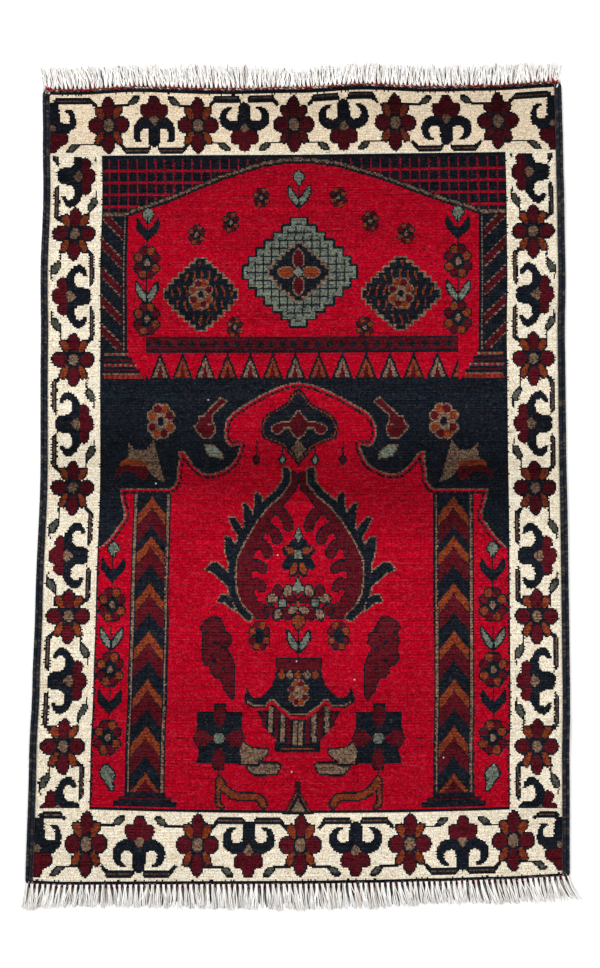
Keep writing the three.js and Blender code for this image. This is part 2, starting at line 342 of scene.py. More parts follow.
for side in (-1, 1):
    columnX = -368.0 if side < 0 else 367.0
    for number, y in enumerate(sidePalmettes):
        towards = side if number % 2 else -side
        raised = 2 if side > 0 and number == 0 else 0
        knotMotif(sidePalmette, columnX + 3.5 * towards, y + raised, 3 if towards > 0 else 1)
    for y in sideRosettes:
        knotMotif(sideRosette, columnX, y)
fill((chartY > 517) | (chartY < -521), "ivory")
for row in endPalmettes:
    knotMotif(row["motif"], row["x"], row["y"], flip=row["up"], tall=1.03)
shortBar = [(14, 31), (18, 34), (22, 40), (16, 45.5), (-10, 45.5), (-15, 40), (-21, 36), (-18, 32),
    (-11, 34.5), (13, 34.5)]
footCorner = [dict(row, at=shortBar) if row["at"][0] == (14, 31) else row for row in cornerPalmette]
footCorner = [dict(row, at=[(13, 40.2),
    (-9, 40.2)]) if row["at"][0] == (14, 40.2) else row for row in footCorner]
for side in (-1, 1):
    knotMotif(cornerPalmette, side * 380, 573, wide=side)
    knotMotif(footCorner, side * 380, -572, wide=side)
for x, y in endRosettes:
    knotMotif(rosette, x, y, swap={"brown": "wine"} if (x, y) in darkRosettes else None)

# Guard lines at the two ends, then the field.
archEnd, footEnd = knotting["arch"], knotting["foot"]
# the guard lines' rows are uneven
stray = np.random.default_rng(15).uniform(-0.9, 1.2, (2, knotting["across"]))
fill(chartY > archEnd - 9.4, "ivory")
fill(chartY > archEnd - 7.2 - 0.5 * stray[:1], "navy")
fill(chartY < footEnd + 6.6, "ivory")
fill(chartY < footEnd + 4.6 + stray[1:], "navy")

# Field: a framed panel above, the niche below.
inField = (np.abs(chartX) < knotting["fieldSide"]) & (chartY < knotting["fieldArch"])
inField &= chartY > knotting["fieldFoot"]
fill(inField, "navy")
fill(inField & (aside < 322.5) & (chartY > -519.5) & (chartY < 151), "red")

# The niche arch: navy corners above it, then a taupe line and a broken navy line within the red.
archLine = [(0, 148), (22, 144), (47, 134), (72, 121), (97, 106), (110, 97), (118, 87), (122, 72),
    (121, 57), (117, 48), (110, 43), (96, 46), (99, 36), (103, 26), (110, 16), (120, 9), (133, 3), (146, 1),
    (158, 3), (168, 11), (178, 23), (187, 36), (198, 37), (196, 25), (199, 8), (199, -8), (206, -20),
    (212, -23), (294, -23), (292, -36), (289, -48), (285, -60), (285, -70), (293, -82), (303, -96),
    (312, -107), (323, -117)]
intoNiche = -beyond(aside, chartY, archLine + [(340, -117), (340, -560), (-20, -560), (-20, 148)])
besideAxis = -beyond(aside, chartY, archLine + [(340, -117), (340, -560), (-60, -560), (-60, 148)])
intoNiche = np.where(aside < 12, np.maximum(intoNiche, besideAxis), intoNiche)
knotRow = np.arange(knotting["along"])[:, None] + np.zeros_like(chart, int)
knotColumn = np.arange(knotting["across"])[None, :] + np.zeros_like(chart, int)
upper = (chartY > -118) & (chartY < 151) & (aside < 326)
fill(upper & (intoNiche < 0), "navy")
fill(upper & (intoNiche >= 0) & (intoNiche < 2.6), "taupe")
fill(upper & (intoNiche > 4.9) & (intoNiche < 8.8) & ((knotRow + knotColumn) % 5 < 4), "navy")

# Columns with chevrons
columnMiddle, columnHalf = 239.5, 31.5
offColumn = np.abs(aside - columnMiddle)
inColumn = (offColumn < columnHalf) & (chartY < -31) & (chartY > -498)
fill(inColumn, "navy")
fill(inColumn & (offColumn > 25) & (offColumn < 28.2) & (chartY > -496), "taupe")
chevronTops = [-35, -97, -171, -246, -321, -393, -465]
for top, nextTop in zip(chevronTops, chevronTops[1:] + [-530]):
    down = top - chartY - 1.22 * offColumn - np.where(offColumn < 4, offColumn * 0.6, 2.4)
    last = top == chevronTops[-1]
    band = (offColumn < 22.8) & (chartY > -496.5)
    fill(band & (down > 0) & (down < (9 if last else 17)), "brown")
    fill(band & (down > (10.5 if last else 19)) & (down < (60 if last else 45)) & (chartY > nextTop - 20),
        "burgundy")
fill((chartY < -496) & (chartY > -518)
    & (offColumn < 33 + np.where(chartY < -503, 8, 0) + np.where(chartY < -508.5, 9, 0)), "navy")
fill((chartY < -503.5) & (chartY > -507.5) & (offColumn < 42), "burgundy")
fill((chartY < -29) & (chartY > -32.5) & (aside > 212) & (aside < 292), "navy")

# Ring of eight petals in two colours by turns, as on the stems and in the corners
ringPlaces = [(-6, 19), (5, 19), (14, 8.5), (14, -9), (6, -19), (-5, -18), (-14, -9), (-14, 8.5)]
pinwheel = [area("navy", petal(0, 0, 13, 16))]
pinwheel += [area("brown" if number % 2 == 0 else "burgundy", petal(x, y, 6.2, 6.4), rim=2.7) for number,
    (x, y) in enumerate(ringPlaces)]
pinwheel += [area("taupe", petal(0, 0, 4.6, 6.2), rim=3)]
cornerFlower = [dict(row, edge="taupe",
    dye="taupe" if row["dye"] == "navy" else row["dye"]) for row in pinwheel[:9]]
cornerFlower += [area("navy", petal(0, 0, 5, 7))]
splitLeaf = both([area("navy", [(18, 22), (20, 10), (19, 0), (0, -20), (0, 0), (7, 6)])])
stem = [area("navy", [(0, 24), (0, -24)], line=2.2)]
bud = both([area("sage", [(0, 11), (5, 8), (8.5, 2), (8, -3), (4, -6), (2, -12), (0, -13)], rim=2.2)])
pairOfLeaves = both([
    area("sage", [(17, 15), (17, 2), (11, -9), (2.5, -17), (1.5, -7), (8, 3), (13, 10)], rim=2.7)]) + [
    area("navy", [(0, 18), (0, -26)], line=2.4)]
singleLeaf = [
    area("sage", [(0, 17), (6, 14), (10, 6), (9, 0), (0, -11), (-6, -21), (-10, -21), (-9, -8), (-12, 3),
        (-7, 11)], rim=2.8)]
stemX = 299.5
for row in [{"motif": bud, "y": -119}, {"motif": stem, "y": -152}, {"motif": splitLeaf, "y": -153},
    {"motif": stem, "y": -178}, {"motif": pinwheel, "y": -207}, {"motif": pairOfLeaves, "y": -258},
    {"motif": pinwheel, "y": -308}, {"motif": stem, "y": -356}, {"motif": splitLeaf, "y": -358},
    {"motif": stem, "y": -382}, {"motif": pinwheel, "y": -413}, {"motif": singleLeaf, "y": -472}]:
    knotMotif(row["motif"], stemX, row["y"], half=True)

# Corners above the arch
horseLeaf = [
    area("taupe", [(-25, 41), (-14, 29), (4, 28), (12, 36), (18, 47), (19, 34), (26, 14), (31, -10),
        (36, -22), (25, -20), (14, -10), (5, -8), (-16, -8), (-38, 4), (-24, 20), (-23, 30)]),
    area("brown", [(-40, 4), (-30, 14), (-12, 13), (8, 8), (6, -2), (-20, -2)]),
    area("burgundy", [(-48, -18), (-44, -4), (-32, 4), (4, 2), (12, -6), (3, -20), (-6, -18), (-14, -8),
        (-28, -7), (-40, -11)])]
clubLeaf = [
    area("burgundy", [(24, 33), (32, 28), (18, 16), (9, 8), (9, -5), (13, -12), (12, -22), (7, -29),
        (-4, -30), (-13, -21), (-19, -12), (-12, -6), (-11, 3), (-4, 4), (3, 12)], rim=2.4, edge="taupe"),
    area("taupe", [(3, -8), (9, -8)], line=2)]
hookLeaf = [
    area("sage", [(-12, 9), (0, 9), (6, 4), (13, -2), (16, -12), (9, -9), (-4, -8), (-9, 0)], rim=2,
        edge="taupe")]
knotMotif(cornerFlower, 226, 84, half=True, wide=1.03, tall=1.04)
onBothSides(horseLeaf, 255, 10)
onBothSides(clubLeaf, 151, 88)
onBothSides(hookLeaf, 141, 37)

# Hanging medallion under the point of the arch
pendant = both([
    area("navy", [(0, 138), (10, 130), (21, 113), (36, 105), (50, 98), (59, 88), (62, 74), (61, 60),
        (55, 55), (45, 51), (34, 47), (25, 43), (18, 34), (9, 23), (0, 12)])])
knotMotif([dict(row, at=[(x, y - 75) for x, y in row["at"]]) for row in pendant], 0, 75, niche=True)
pendantLine = -beyond(aside, chartY, [(0, 136)] + pendant[0]["at"][1:-1] + [(0, 14), (-9, 23), (-9, 130)])
ringed = (aside < 66) & (chartY > 12) & (chartY < 138) & (pendantLine > 2.4) & (pendantLine < 5.4)
fill(ringed & ((knotRow + 2 * knotColumn) % 5 < 3), "brown")
innerCross = both([
    area("burgundy", [(0, 26), (10, 13), (14, 8), (26, 7), (34, 5), (42, 1), (43, -5), (38, -9), (33, -10),
        (27, -6), (25, 0), (14, 0), (11, -6), (7, -12), (0, -17)], rim=2.4, edge="taupe")]) + [
    area("taupe", [(0, -19), (4, -24), (8, -30), (12, -35), (6, -41), (4, -47), (0, -50), (-4, -47),
        (-6, -41), (-12, -35), (-8, -30), (-4, -24)])]
knotMotif(innerCross, 0, 75, niche=True)
for row in [{"x": 69, "dye": "burgundy", "top": 54}, {"x": 26, "dye": "sage", "top": 44}]:
    knotMotif([area("navy", [(0, row["top"] - 23), (0, 0)], line=2.3),
        area(row["dye"], lozenge(0, 0, 4.6, 6.5), rim=3)], row["x"], 23, half=True)

# The pair of toothed leaves that curve round the spray
leafSpine = [(20, 5), (20, -12), (33, -30), (54, -47), (71, -68), (86, -92), (96, -110), (106, -132),
    (108, -160), (105, -188), (95, -209), (80, -224)]
leafTeeth = [[(60, -50), (60, -37), (66, -30), (72, -31), (71, -50), (75, -62), (66, -66)], [(75, -62),
    (84, -48), (92, -46), (89, -57), (88, -88), (80, -86)], [(88, -92), (97, -78), (105, -69), (114, -68),
    (108, -82), (99, -97), (97, -110)], [(103, -112), (110, -100), (120, -99), (119, -120), (114, -138),
    (106, -138)], [(110, -158), (122, -147), (131, -139), (140, -139), (150, -150), (136, -156),
    (125, -166), (108, -182)], [(106, -195), (117, -190), (124, -189), (130, -200), (118, -202),
    (103, -214)]]
toothedLeaf = [{"dye": "navy", "at": leafSpine, "line": 11, "rim": 2.6, "edge": "taupe"}] + [
    area("navy", tooth, rim=1.8, edge="taupe") for tooth in leafTeeth]
innerCurls = [[(38, -54), (27, -61), (19, -72), (16, -82)], [(60, -80), (47, -86), (38, -93), (35, -102)],
    [(73, -112), (60, -110), (53, -116), (50, -124)], [(85, -150), (74, -143), (65, -143), (58, -148)],
    [(84, -182), (74, -173), (66, -171), (59, -177)]]
innerLeaf = [area("burgundy", [(8, -4), (10, -20), (27, -40), (46, -60), (62, -80)], rim=2.4, line=13),
    area("burgundy", [(60, -78), (74, -102), (85, -128), (88, -160), (84, -190), (72, -211), (58, -216)],
        rim=2.4, line=22)] + [area("burgundy", curl, rim=2.6, line=13) for curl in innerCurls]
for leaf in (innerLeaf, toothedLeaf):
    knotMotif([dict(row, at=[(x - 80, y + 110) for x, y in row["at"]]) for row in leaf], 80, -110, half=True)

# Spray of flowers over the vase, on the middle line
knotMotif(both([
    area("navy", [(0, 24), (11, 24), (15, 17), (22, 14), (27, 8), (23, 0), (18, -4), (24, -10), (27, -18),
        (23, -24), (15, -24), (15, -32), (8, -36), (0, -30)]),
    area("brown", [(8, 12), (22, 13), (21, 7), (15, 1), (6, 2)]),
    area("brown", [(3, -12), (8, -13), (13, -22), (14, -30), (7, -31), (2, -24)])]) + [
    area("sage", block(-5.5, -6.5, 5.5, 6.5))], 0, -127, niche=True)
knotMotif(both([area("sage", [(0, 10), (3, 4), (5, -3), (1.5, -10), (0, -12)], rim=2.2)]), 0, -95, niche=True)
clusterPetals = [area("taupe", petal(-9, 19, 6, 10, -12), rim=2.5),
    area("taupe", petal(15, 8, 9, 7, 20), rim=2.5), area("taupe", petal(7, -17, 5.6, 9, -20), rim=2.5),
    area("burgundy", petal(7, 19, 6.4, 9), rim=2.5), area("burgundy", petal(20, -10, 8, 6.5, 20), rim=2.5),
    area("burgundy", petal(-7, -16, 7, 9, 12), rim=2.5), area("burgundy", petal(-14, 7, 9, 6), rim=2.5),
    area("taupe", petal(-17, -10, 8, 5.4, 24), rim=2.5), area("sage", block(-5.4, -5.4, 5.4, 5.4), rim=2.6)]
knotMotif(clusterPetals, 26, -203, half=True)
knotMotif(both([area("sage", [(0, 16), (2.5, 8), (9, 0), (8, -6), (3, -6), (0, -10)], rim=2.4)]), 0, -178,
    niche=True)
knotMotif([area("brown", lozenge(0, 0, 3.6, 6), rim=1.4),
    area("brown", [(-3, -17), (3, -17), (10, -22), (10, -28), (5, -35), (0, -41), (-5, -35), (-10, -28),
        (-10, -22)], rim=2.4)], 0, -204, niche=True)
knotMotif(pairOfLeaves, 0, -260, niche=True)
knotMotif(pinwheel, 62, -253, half=True, wide=0.78, tall=0.84, swap={"taupe": "navy"})
plumeLeaf = [
    area("burgundy", [(-9, 63), (2, 62), (8, 51), (11, 42), (19, 37), (21, 25), (12, 17), (18, 8), (24, -3),
        (26, -12), (26, -56), (24, -61), (19, -56), (12, -46), (9, -36), (6, -28), (-2, -28), (-9, -21),
        (-10, -10), (-19, -8), (-24, 2), (-22, 16), (-24, 28), (-22, 40), (-27, 48), (-20, 58)],
        rim=2.8)] + [area("navy", block(x - 3, y - 2.6, x + 3, y + 2.6)) for x,
    y in ((-19, 41), (9, 42), (9, 18), (-4, 25), (-5, -3), (10, -15))]
onBothSides(plumeLeaf, 129, -289)

# Vase with a row of small flowers, a scalloped rim and a striped bowl
vase = both([
    area("navy", [(0, 38), (36, 38), (36, 10), (37, 6), (43, -6), (52, -17), (60, -24), (72, -24),
        (77, -18), (82, -9), (84, -16), (87, -25), (85, -33), (76, -38), (66, -44), (61, -54), (52, -70),
        (43, -81), (34, -90), (36, -96), (35, -108), (0, -108)]), area("burgundy", block(0, 18, 34, 35)),
    area("brown", block(0, -104, 26, -101.4))])
knotMotif(vase, 0, -324, niche=True)
rimLine = [(-80, -355), (-70, -361), (-52, -361), (-45, -352), (-38, -353), (-31, -361), (-22, -367),
    (-13, -374), (13, -374), (22, -367), (31, -361), (38, -353), (45, -352), (52, -361), (70, -361),
    (80, -355)]
knotMotif([area("red", [(x * 0.97, y + 334.5) for x, y in rimLine[1:-1]], line=5),
    area("taupe", [(x, y + 339) for x, y in rimLine], line=2.8)], 0, -339, niche=True)
rimX, rimY = [x for x, y in rimLine[8:]], [y for x, y in rimLine[8:]]
underRim = np.interp(aside, rimX, rimY) - 8.5
for row in [{"x": 4.8, "dye": "taupe", "foot": -420}, {"x": 14.8, "dye": "burgundy", "foot": -419},
    {"x": 24.5, "dye": "taupe", "foot": -416}, {"x": 34, "dye": "burgundy", "foot": -409},
    {"x": 44, "dye": "taupe", "foot": -402}, {"x": 54, "dye": "burgundy", "foot": -392}]:
    fill((np.abs(aside - row["x"]) < (3.2 if row["dye"] == "taupe" else 2.8)) & (chartY < underRim)
        & (chartY > row["foot"]), row["dye"])
for number in range(-2, 3):
    knotMotif([
        area("brown" if number % 2 == 0 else "taupe", [(0, 8), (2, 4), (5.6, 2), (5.6, -2), (3, -5),
            (0, -8), (-3, -5), (-5.6, -2), (-5.6, 2), (-2, 4)], rim=0.5)], number * 13.2, -313, niche=True)
knotMotif(cornerFlower[:9] + [area("taupe", petal(0, 0, 4, 5))], 0, -341, niche=True, wide=0.72, tall=0.74)

# Big cross flowers with a pair of leaves and a bent stalk
crossFlower = [
    area("navy", [(-36, 41), (-11, 41), (-9, 53), (9, 53), (11, 41), (36, 41), (35, 20), (38, 9), (42, 0),
        (37, -8), (32, -19), (35, -27), (36, -38), (11, -38), (8, -50), (-8, -50), (-11, -38), (-36, -38),
        (-33, -27), (-31, -19), (-38, -8), (-42, 0), (-38, 9), (-35, 20)]),
    area("burgundy", petal(0, 34, 9.5, 17, 180, 0.5)), area("burgundy", petal(0, -31, 10, 17, 0, 0.5)),
    area("burgundy", [(-39, 3), (-33, 13), (-22, 13), (-15, 4), (-9, 2), (-9, -2), (-15, -5), (-22, -13),
        (-33, -12), (-39, -4)]),
    area("burgundy", [(39, 3), (33, 13), (22, 12), (15, 5), (9, 2), (9, -2), (15, -4), (22, -13), (33, -12),
        (39, -4)]), area("sage", petal(0, 0, 8.4, 8.6))]
handLeaves = [
    area("taupe", [(39, -4), (43, -10), (54, -15), (76, -17), (76, -22), (71, -29), (61, -34), (61, -38),
        (34, -38), (34, -28), (28, -19), (34, -12)], rim=2.6),
    area("taupe", [(44, -42), (62, -43), (64, -38), (94, -38), (97, -42), (90, -54), (57, -55), (48, -49)],
        rim=2.8)]
bentStalk = [area("navy", [(0, -48), (0, -60)], line=2.4),
    area("brown", [(-1, -64), (-1, -101), (5, -104)], rim=2.8, line=4.6),
    area("brown", [(1, -64), (8, -76), (22, -86), (32, -88.5), (60, -89), (67, -94), (70, -101)], rim=2.8,
        line=9.5)]
for motif in (bentStalk, handLeaves, crossFlower):
    onBothSides(motif, 124, -411)
knotMotif(both([
    area("navy", [(0, 38), (5, 36), (5, 28), (2, 26), (6, 18), (12, 8), (20, -8), (26, -14), (0, -14)]),
    area("taupe", [(0, 12), (3, 4), (7, -2), (11, -9), (0, -9)]),
    area("brown", [(2, 18), (8, 8), (17, -8)], line=1.9)]) + [
    area("burgundy", [(0, 34), (0, 27)], line=2.2)], 0, -513, niche=True)
knotMotif([area("navy", [(-5, 0), (5, 0)], line=2.4)], 187, -411, half=True)

# Panel over the niche: netted corners, a rope line, striped posts on stepped feet
ropeRows = [{"x": 0, "y": 512}, {"x": 20, "y": 511}, {"x": 60, "y": 505.5}, {"x": 97, "y": 493},
    {"x": 125, "y": 484}, {"x": 160, "y": 470}, {"x": 196, "y": 455}, {"x": 230, "y": 442},
    {"x": 262, "y": 432}, {"x": 287, "y": 422}, {"x": 330, "y": 421.5}]
ropeY = np.interp(aside, [row["x"] for row in ropeRows], [row["y"] for row in ropeRows])
panel = (chartY > 151) & (aside < 323.5) & (chartY < 515.5)
fill(panel & (chartY < ropeY) & (aside < 285), "red")
net = panel & (chartY > ropeY + 4.5)
for number in range(4):
    bar = net & (np.abs(chartY - (494.5 - 19.7 * number)) < 2.2)
    fill(bar, "lattice")
    fill(bar & ((knotRow + knotColumn) % 2 == 0), "red")
for number in range(-22, 23):
    fill(net & (np.abs(nicheX - 7 - 15.25 * number) < 1.2) & (chartY < 513), "lattice")
fill(panel & (chartY - ropeY < 4.6) & (chartY - ropeY > -6.4), "navy")
fill(panel & (np.abs(chartY - ropeY - 0.4) < 2.5) & ((knotColumn + knotRow) % 7 != 0), "taupe")
post = panel & (aside > 281.5) & (chartY < 418) & (chartY > 199)
fill(post, "navy")
slope = (chartY - 1.02 * aside + 1000) % 47
fill(post & (aside > 291) & (slope > 4) & (slope < 18), "burgundy")
fill(post & (aside > 290) & ((np.abs(slope - 2.6) < 1.6) | (np.abs(slope - 19.4) < 1.6))
    & (knotRow % 3 > 0), "taupe")
fill(post & (np.abs(aside - 287) < 1.3) & (knotRow % 4 > 0), "taupe")
steps = panel & (chartY < 199) & (aside > np.interp(chartY, [152, 199], [256, 286]) // 6.5 * 6.5)
fill(steps, "navy")
for row in [{"y": 191.5, "half": 2.2, "one": "brown", "two": "taupe"},
    {"y": 183, "half": 1.4, "one": "burgundy", "two": "burgundy"},
    {"y": 175, "half": 2.2, "one": "taupe", "two": "lattice"},
    {"y": 167, "half": 1.6, "one": "burgundy", "two": "burgundy"},
    {"y": 160.5, "half": 1.2, "one": "taupe", "two": "taupe"},
    {"y": 155.5, "half": 3, "one": "brown", "two": "lattice"}]:
    band = steps & (np.abs(chartY - row["y"]) < row["half"]) & (aside < 320)
    fill(band & (knotColumn % 4 < 2), row["one"])
    fill(band & (knotColumn % 4 >= 2), row["two"])

# Middle of the panel: a row of stepped medallions with flower stems between them
steppedEdge = [(0, 88), (12, 88), (12, 76), (26, 76), (26, 64), (40, 64), (40, 52), (54, 52), (54, 38),
    (68, 38), (68, 24), (80, 24), (80, 10), (90, 10), (90, 0)]
stepHalf = steppedEdge + [(x, -y) for x, y in reversed(steppedEdge)][1:]
bigMedallion = both([area("sage", stepHalf, rim=3.6)])
knotMotif(bigMedallion, 0, 326, niche=True)
fromMiddle = beyond(aside, chartY, [(x, y + 326) for x, y in stepHalf] + [(-20, 238), (-20, 414)])
netted = (fromMiddle < -6) & (aside < 90)
fill(netted & (((chartY + 6) % 13.2 < 2.2) | ((nicheX + 500.6) % 13 < 2.2)), "navy")
knotMotif([
    area("navy", [(x * 0.52, y * 0.52) for x, y in stepHalf] + [(-x * 0.52, y * 0.52) for x,
        y in reversed(stepHalf)], rim=3, edge="taupe")], 0, 326, niche=True)
knotMotif([area("burgundy", petal(0, 22, 8, 15, 0, 0.4), rim=2.2, edge="taupe"),
    area("burgundy", petal(0, -22, 8, 15, 180, 0.4), rim=2.2, edge="taupe"),
    area("brown", petal(20, 0, 13, 8), rim=2.2, edge="taupe"),
    area("brown", petal(-20, 0, 13, 8), rim=2.2, edge="taupe"), area("sage", lozenge(0, 0, 9, 9), rim=2.4)],
    0, 326, niche=True)
smallHalf = [(x * 0.66, y * 0.66) for x, y in stepHalf]
for sideSign in (-1, 1):
    knotMotif(both([area("navy", smallHalf, rim=3, edge="taupe")]), sideSign * 160, 290, niche=True)
inSmall = beyond(aside - 160, chartY - 290, smallHalf + [(-x, y) for x, y in reversed(smallHalf)]) < -4
fill(inSmall & ((aside + 2.2 * np.sin(chartY / 5)) % 12.2 < 2.8) & (knotRow % 11 < 8), "brown")
knotMotif(cornerFlower, 160, 290, half=True, wide=0.9, tall=0.9)
for row in [{"motif": bud, "y": 421}, {"motif": stem, "y": 392}, {"motif": splitLeaf, "y": 396},
    {"motif": stem, "y": 366}, {"motif": pinwheel, "y": 342}, {"motif": stem, "y": 310},
    {"motif": pairOfLeaves, "y": 295}, {"motif": pinwheel, "y": 250}]:
    knotMotif(row["motif"], 249, row["y"], half=True)
for row in [{"x": 112, "y": 408}, {"x": 62, "y": 448}, {"x": 168, "y": 388}, {"x": 104, "y": 236}]:
    knotMotif(pinwheel, row["x"], row["y"], half=True, wide=0.62, tall=0.62)
knotMotif(pairOfLeaves, 0, 452, niche=True)
knotMotif(bud, 0, 482, niche=True)
base = panel & (aside < 250)
fill(base & (chartY < 221), "navy")
fill(base & (chartY < 218) & (chartY > 199.5), "burgundy")
lace = ((nicheX + 500) % 18.6) - 9.3
fill(base & (np.abs(lace) + np.abs(chartY - 208.8) < 6.4), "navy")
fill(base & (chartY < 195) & (chartY > 152.5), "red")
peak = np.abs(((nicheX + 504.5) % 37) - 18.5)
number = np.floor((nicheX + 504.5) / 37).astype(int)
rise = (chartY - 152.5) / 1.9
fill(base & (chartY < 195) & (chartY > 152.5) & (peak < 17.5 - rise * 0.74), "navy")
fill(base & (chartY < 190) & (chartY > 154.5) & (peak < 13.4 - rise * 0.74) & (number % 2 == 0), "brown")
fill(base & (chartY < 190) & (chartY > 154.5) & (peak < 13.4 - rise * 0.74) & (number % 2 == 1), "taupe")
fill(base & (chartY > 154.5) & (chartY < 178) & (peak < 5.4 - rise * 0.4), "burgundy")

print("chart tied:", chart.shape[1], "by", chart.shape[0], "knots")

# Dyes: the wool, the wool spun in with it and how much of that, how uneven it is, how strongly the painted
# nap shade lightens or darkens it and how bright a painted highlight its knots get
dyes = {
    "ivory": {"colour": (251, 241, 219), "spun": (232, 208, 172),
              "share": 0.32, "uneven": 0.10, "napShade": 0.3, "glint": 0.0},
    "red": {"colour": (175, 0, 28), "spun": (184, 18, 50),
              "share": 0.16, "uneven": 0.20, "napShade": 1.0, "glint": 1.0},
    "navy": {"colour": (20, 27, 36), "spun": (46, 47, 45),
              "share": 0.08, "uneven": 0.36, "napShade": 1.3, "glint": 0.25},
    "burgundy": {"colour": (90, 15, 27), "spun": (64, 30, 32),
              "share": 0.25, "uneven": 0.30, "napShade": 1.8, "glint": 0.35},
    "brown": {"colour": (134, 60, 27), "spun": (100, 32, 38),
              "share": 0.30, "uneven": 0.24, "napShade": 1.4, "glint": 0.5},
    "taupe": {"colour": (134, 108, 88), "spun": (76, 57, 48),
              "share": 0.34, "uneven": 0.28, "napShade": 1.7, "glint": 0.6},
    "sage": {"colour": (112, 120, 106), "spun": (66, 72, 68),
              "share": 0.28, "uneven": 0.24, "napShade": 0.7, "glint": 0.4},
    "moss": {"colour": (88, 91, 80), "spun": (56, 58, 54),
              "share": 0.30, "uneven": 0.26, "napShade": 1.4, "glint": 0.3},
    "umber": {"colour": (104, 82, 68), "spun": (62, 45, 40),
              "share": 0.36, "uneven": 0.28, "napShade": 1.4, "glint": 0.4},
    "wine": {"colour": (76, 19, 24), "spun": (104, 42, 28),
              "share": 0.25, "uneven": 0.25, "napShade": 1.2, "glint": 0.3},
    "lattice": {"colour": (142, 20, 40), "spun": (96, 12, 30),
              "share": 0.30, "uneven": 0.25, "napShade": 0.9, "glint": 0.5}}
# Painted light and shade: bands where the pile leans another way, painted lighter or darker
napShadeRows = [{"y": -632, "shade": 0.84}, {"y": -560, "shade": 0.92}, {"y": -500, "shade": 0.84},
    {"y": -440, "shade": 0.92}, {"y": -402, "shade": 0.93}, {"y": -378, "shade": 0.82},
    {"y": -350, "shade": 0.93}, {"y": -260, "shade": 1.02}, {"y": -120, "shade": 1.0},
    {"y": -70, "shade": 0.84}, {"y": -20, "shade": 0.60}, {"y": 30, "shade": 0.58},
    {"y": 75, "shade": 0.80}, {"y": 120, "shade": 0.93}, {"y": 210, "shade": 0.84},
    {"y": 330, "shade": 0.84}, {"y": 400, "shade": 0.75}, {"y": 470, "shade": 0.68},
    {"y": 520, "shade": 0.70}, {"y": 575, "shade": 0.66}, {"y": 605, "shade": 0.52},
    {"y": 635, "shade": 0.48}]
# How strongly pairs of rows, rows, yarn lengths and single knots differ; how many painted glints, how bright
weaverHandAndGlints = {"pairedRows": 0.5, "rows": 0.22, "lengths": 0.65, "knots": 0.9, "shining": 0.30, "shine": 0.035}


def linear(colour):
    shares = np.array(colour, float) / 255
    return np.where(shares <= 0.04045, shares / 12.92, ((shares + 0.055) / 1.055) ** 2.4)


def softNoise(shape, cells, seed):
    # smooth unevenness from -1 to 1 over a grid
    maker = np.random.default_rng(seed)
    coarse = maker.uniform(-1, 1, (cells[0] + 1, cells[1] + 1))
    down = np.linspace(0, cells[0], shape[0])
    across = np.linspace(0, cells[1], shape[1])
    row, column = np.minimum(down.astype(int), cells[0] - 1), np.minimum(across.astype(int), cells[1] - 1)
    y, x = (down - row)[:, None], (across - column)[None, :]
    y, x = y * y * (3 - 2 * y), x * x * (3 - 2 * x)
    top = coarse[row][:, column] * (1 - x) + coarse[row][:, column + 1] * x
    bottom = coarse[row + 1][:, column] * (1 - x) + coarse[row + 1][:, column + 1] * x
    return top * (1 - y) + bottom * y


shape = chart.shape
realX, realY = onCloth(chartX, chartY)
dyeColours = np.array([linear(dyes[name]["colour"]) for name in dyeNames])
spunColours = np.array([linear(dyes[name]["spun"]) for name in dyeNames])
spunShare = np.array([dyes[name]["share"] for name in dyeNames])[chart]
uneven = np.array([dyes[name]["uneven"] for name in dyeNames])[chart]
napShadeWeight = np.array([dyes[name]["napShade"] for name in dyeNames])[chart]
spun = (hand.uniform(0, 1, shape) < spunShare) * hand.uniform(0.4, 1.0, shape)
knotColours = dyeColours[chart] * (1 - spun[..., None]) + spunColours[chart] * spun[..., None]
# each row of knots, each length of yarn in it, and each skein differ a little
pairedRows = np.where(np.arange(shape[0]) % 2, 1, -1)[:,
    None] * (1 + 0.5 * softNoise(shape, (shape[0] - 1, 24), 7))
lengths = softNoise(shape, (shape[0] - 1, 126), 3) + softNoise(shape, (shape[0] - 1, 48), 8)
tone = (weaverHandAndGlints["pairedRows"] * pairedRows + weaverHandAndGlints["rows"] * hand.normal(0, 1, (shape[0], 1))
        + weaverHandAndGlints["lengths"] * lengths + weaverHandAndGlints["knots"] * hand.normal(0, 1, shape)
        + 0.5 * softNoise(shape, (44, 5), 4))
tone = 1 + uneven * tone
# painted highlights: where knots shine, scaled by each dye's glint
shine = np.clip(softNoise(shape, (shape[0] - 1, 250), 9) + 0.4 * softNoise(shape, (shape[0] - 1, 40), 10)
                - weaverHandAndGlints["shining"], 0, 1)
shine = shine * weaverHandAndGlints["shine"] * np.array([dyes[name]["glint"] for name in dyeNames])[chart]
# painted light and shade: the nap bands, slanted across the rug, multiply the knots' colours below
bandY = [row["y"] for row in napShadeRows]
slanted = realY + 0.035 * realX + 14 * softNoise(shape, (5, 4), 5)
napShade = np.interp(slanted, bandY, [row["shade"] for row in napShadeRows]) + 0.05 * softNoise(shape, (22, 8), 6)
# painted shade: darker still towards the right corner of the arch end
napShade = napShade * (1 - 0.12 * np.clip((realX - 250) / 170, 0, 1) * np.clip((realY - 380) / 150, 0, 1))
knotColours = knotColours * np.clip(tone, 0.35, 1.7)[..., None] * (napShade ** napShadeWeight)[..., None]
# painted highlights: warm glints added to the shining knots, dimmed with the painted nap shade
knotColours = knotColours + (shine * napShade)[..., None] * np.array([2.0, 0.5, 0.65])
# the ivory of the arch end is a creamier batch
creamy = np.clip((realY - 520) / 12, 0, 1) * (chart == dyeNumber["ivory"])
knotColours = knotColours * (1 - creamy[..., None] * np.array([0.05, 0.12, 0.18]))
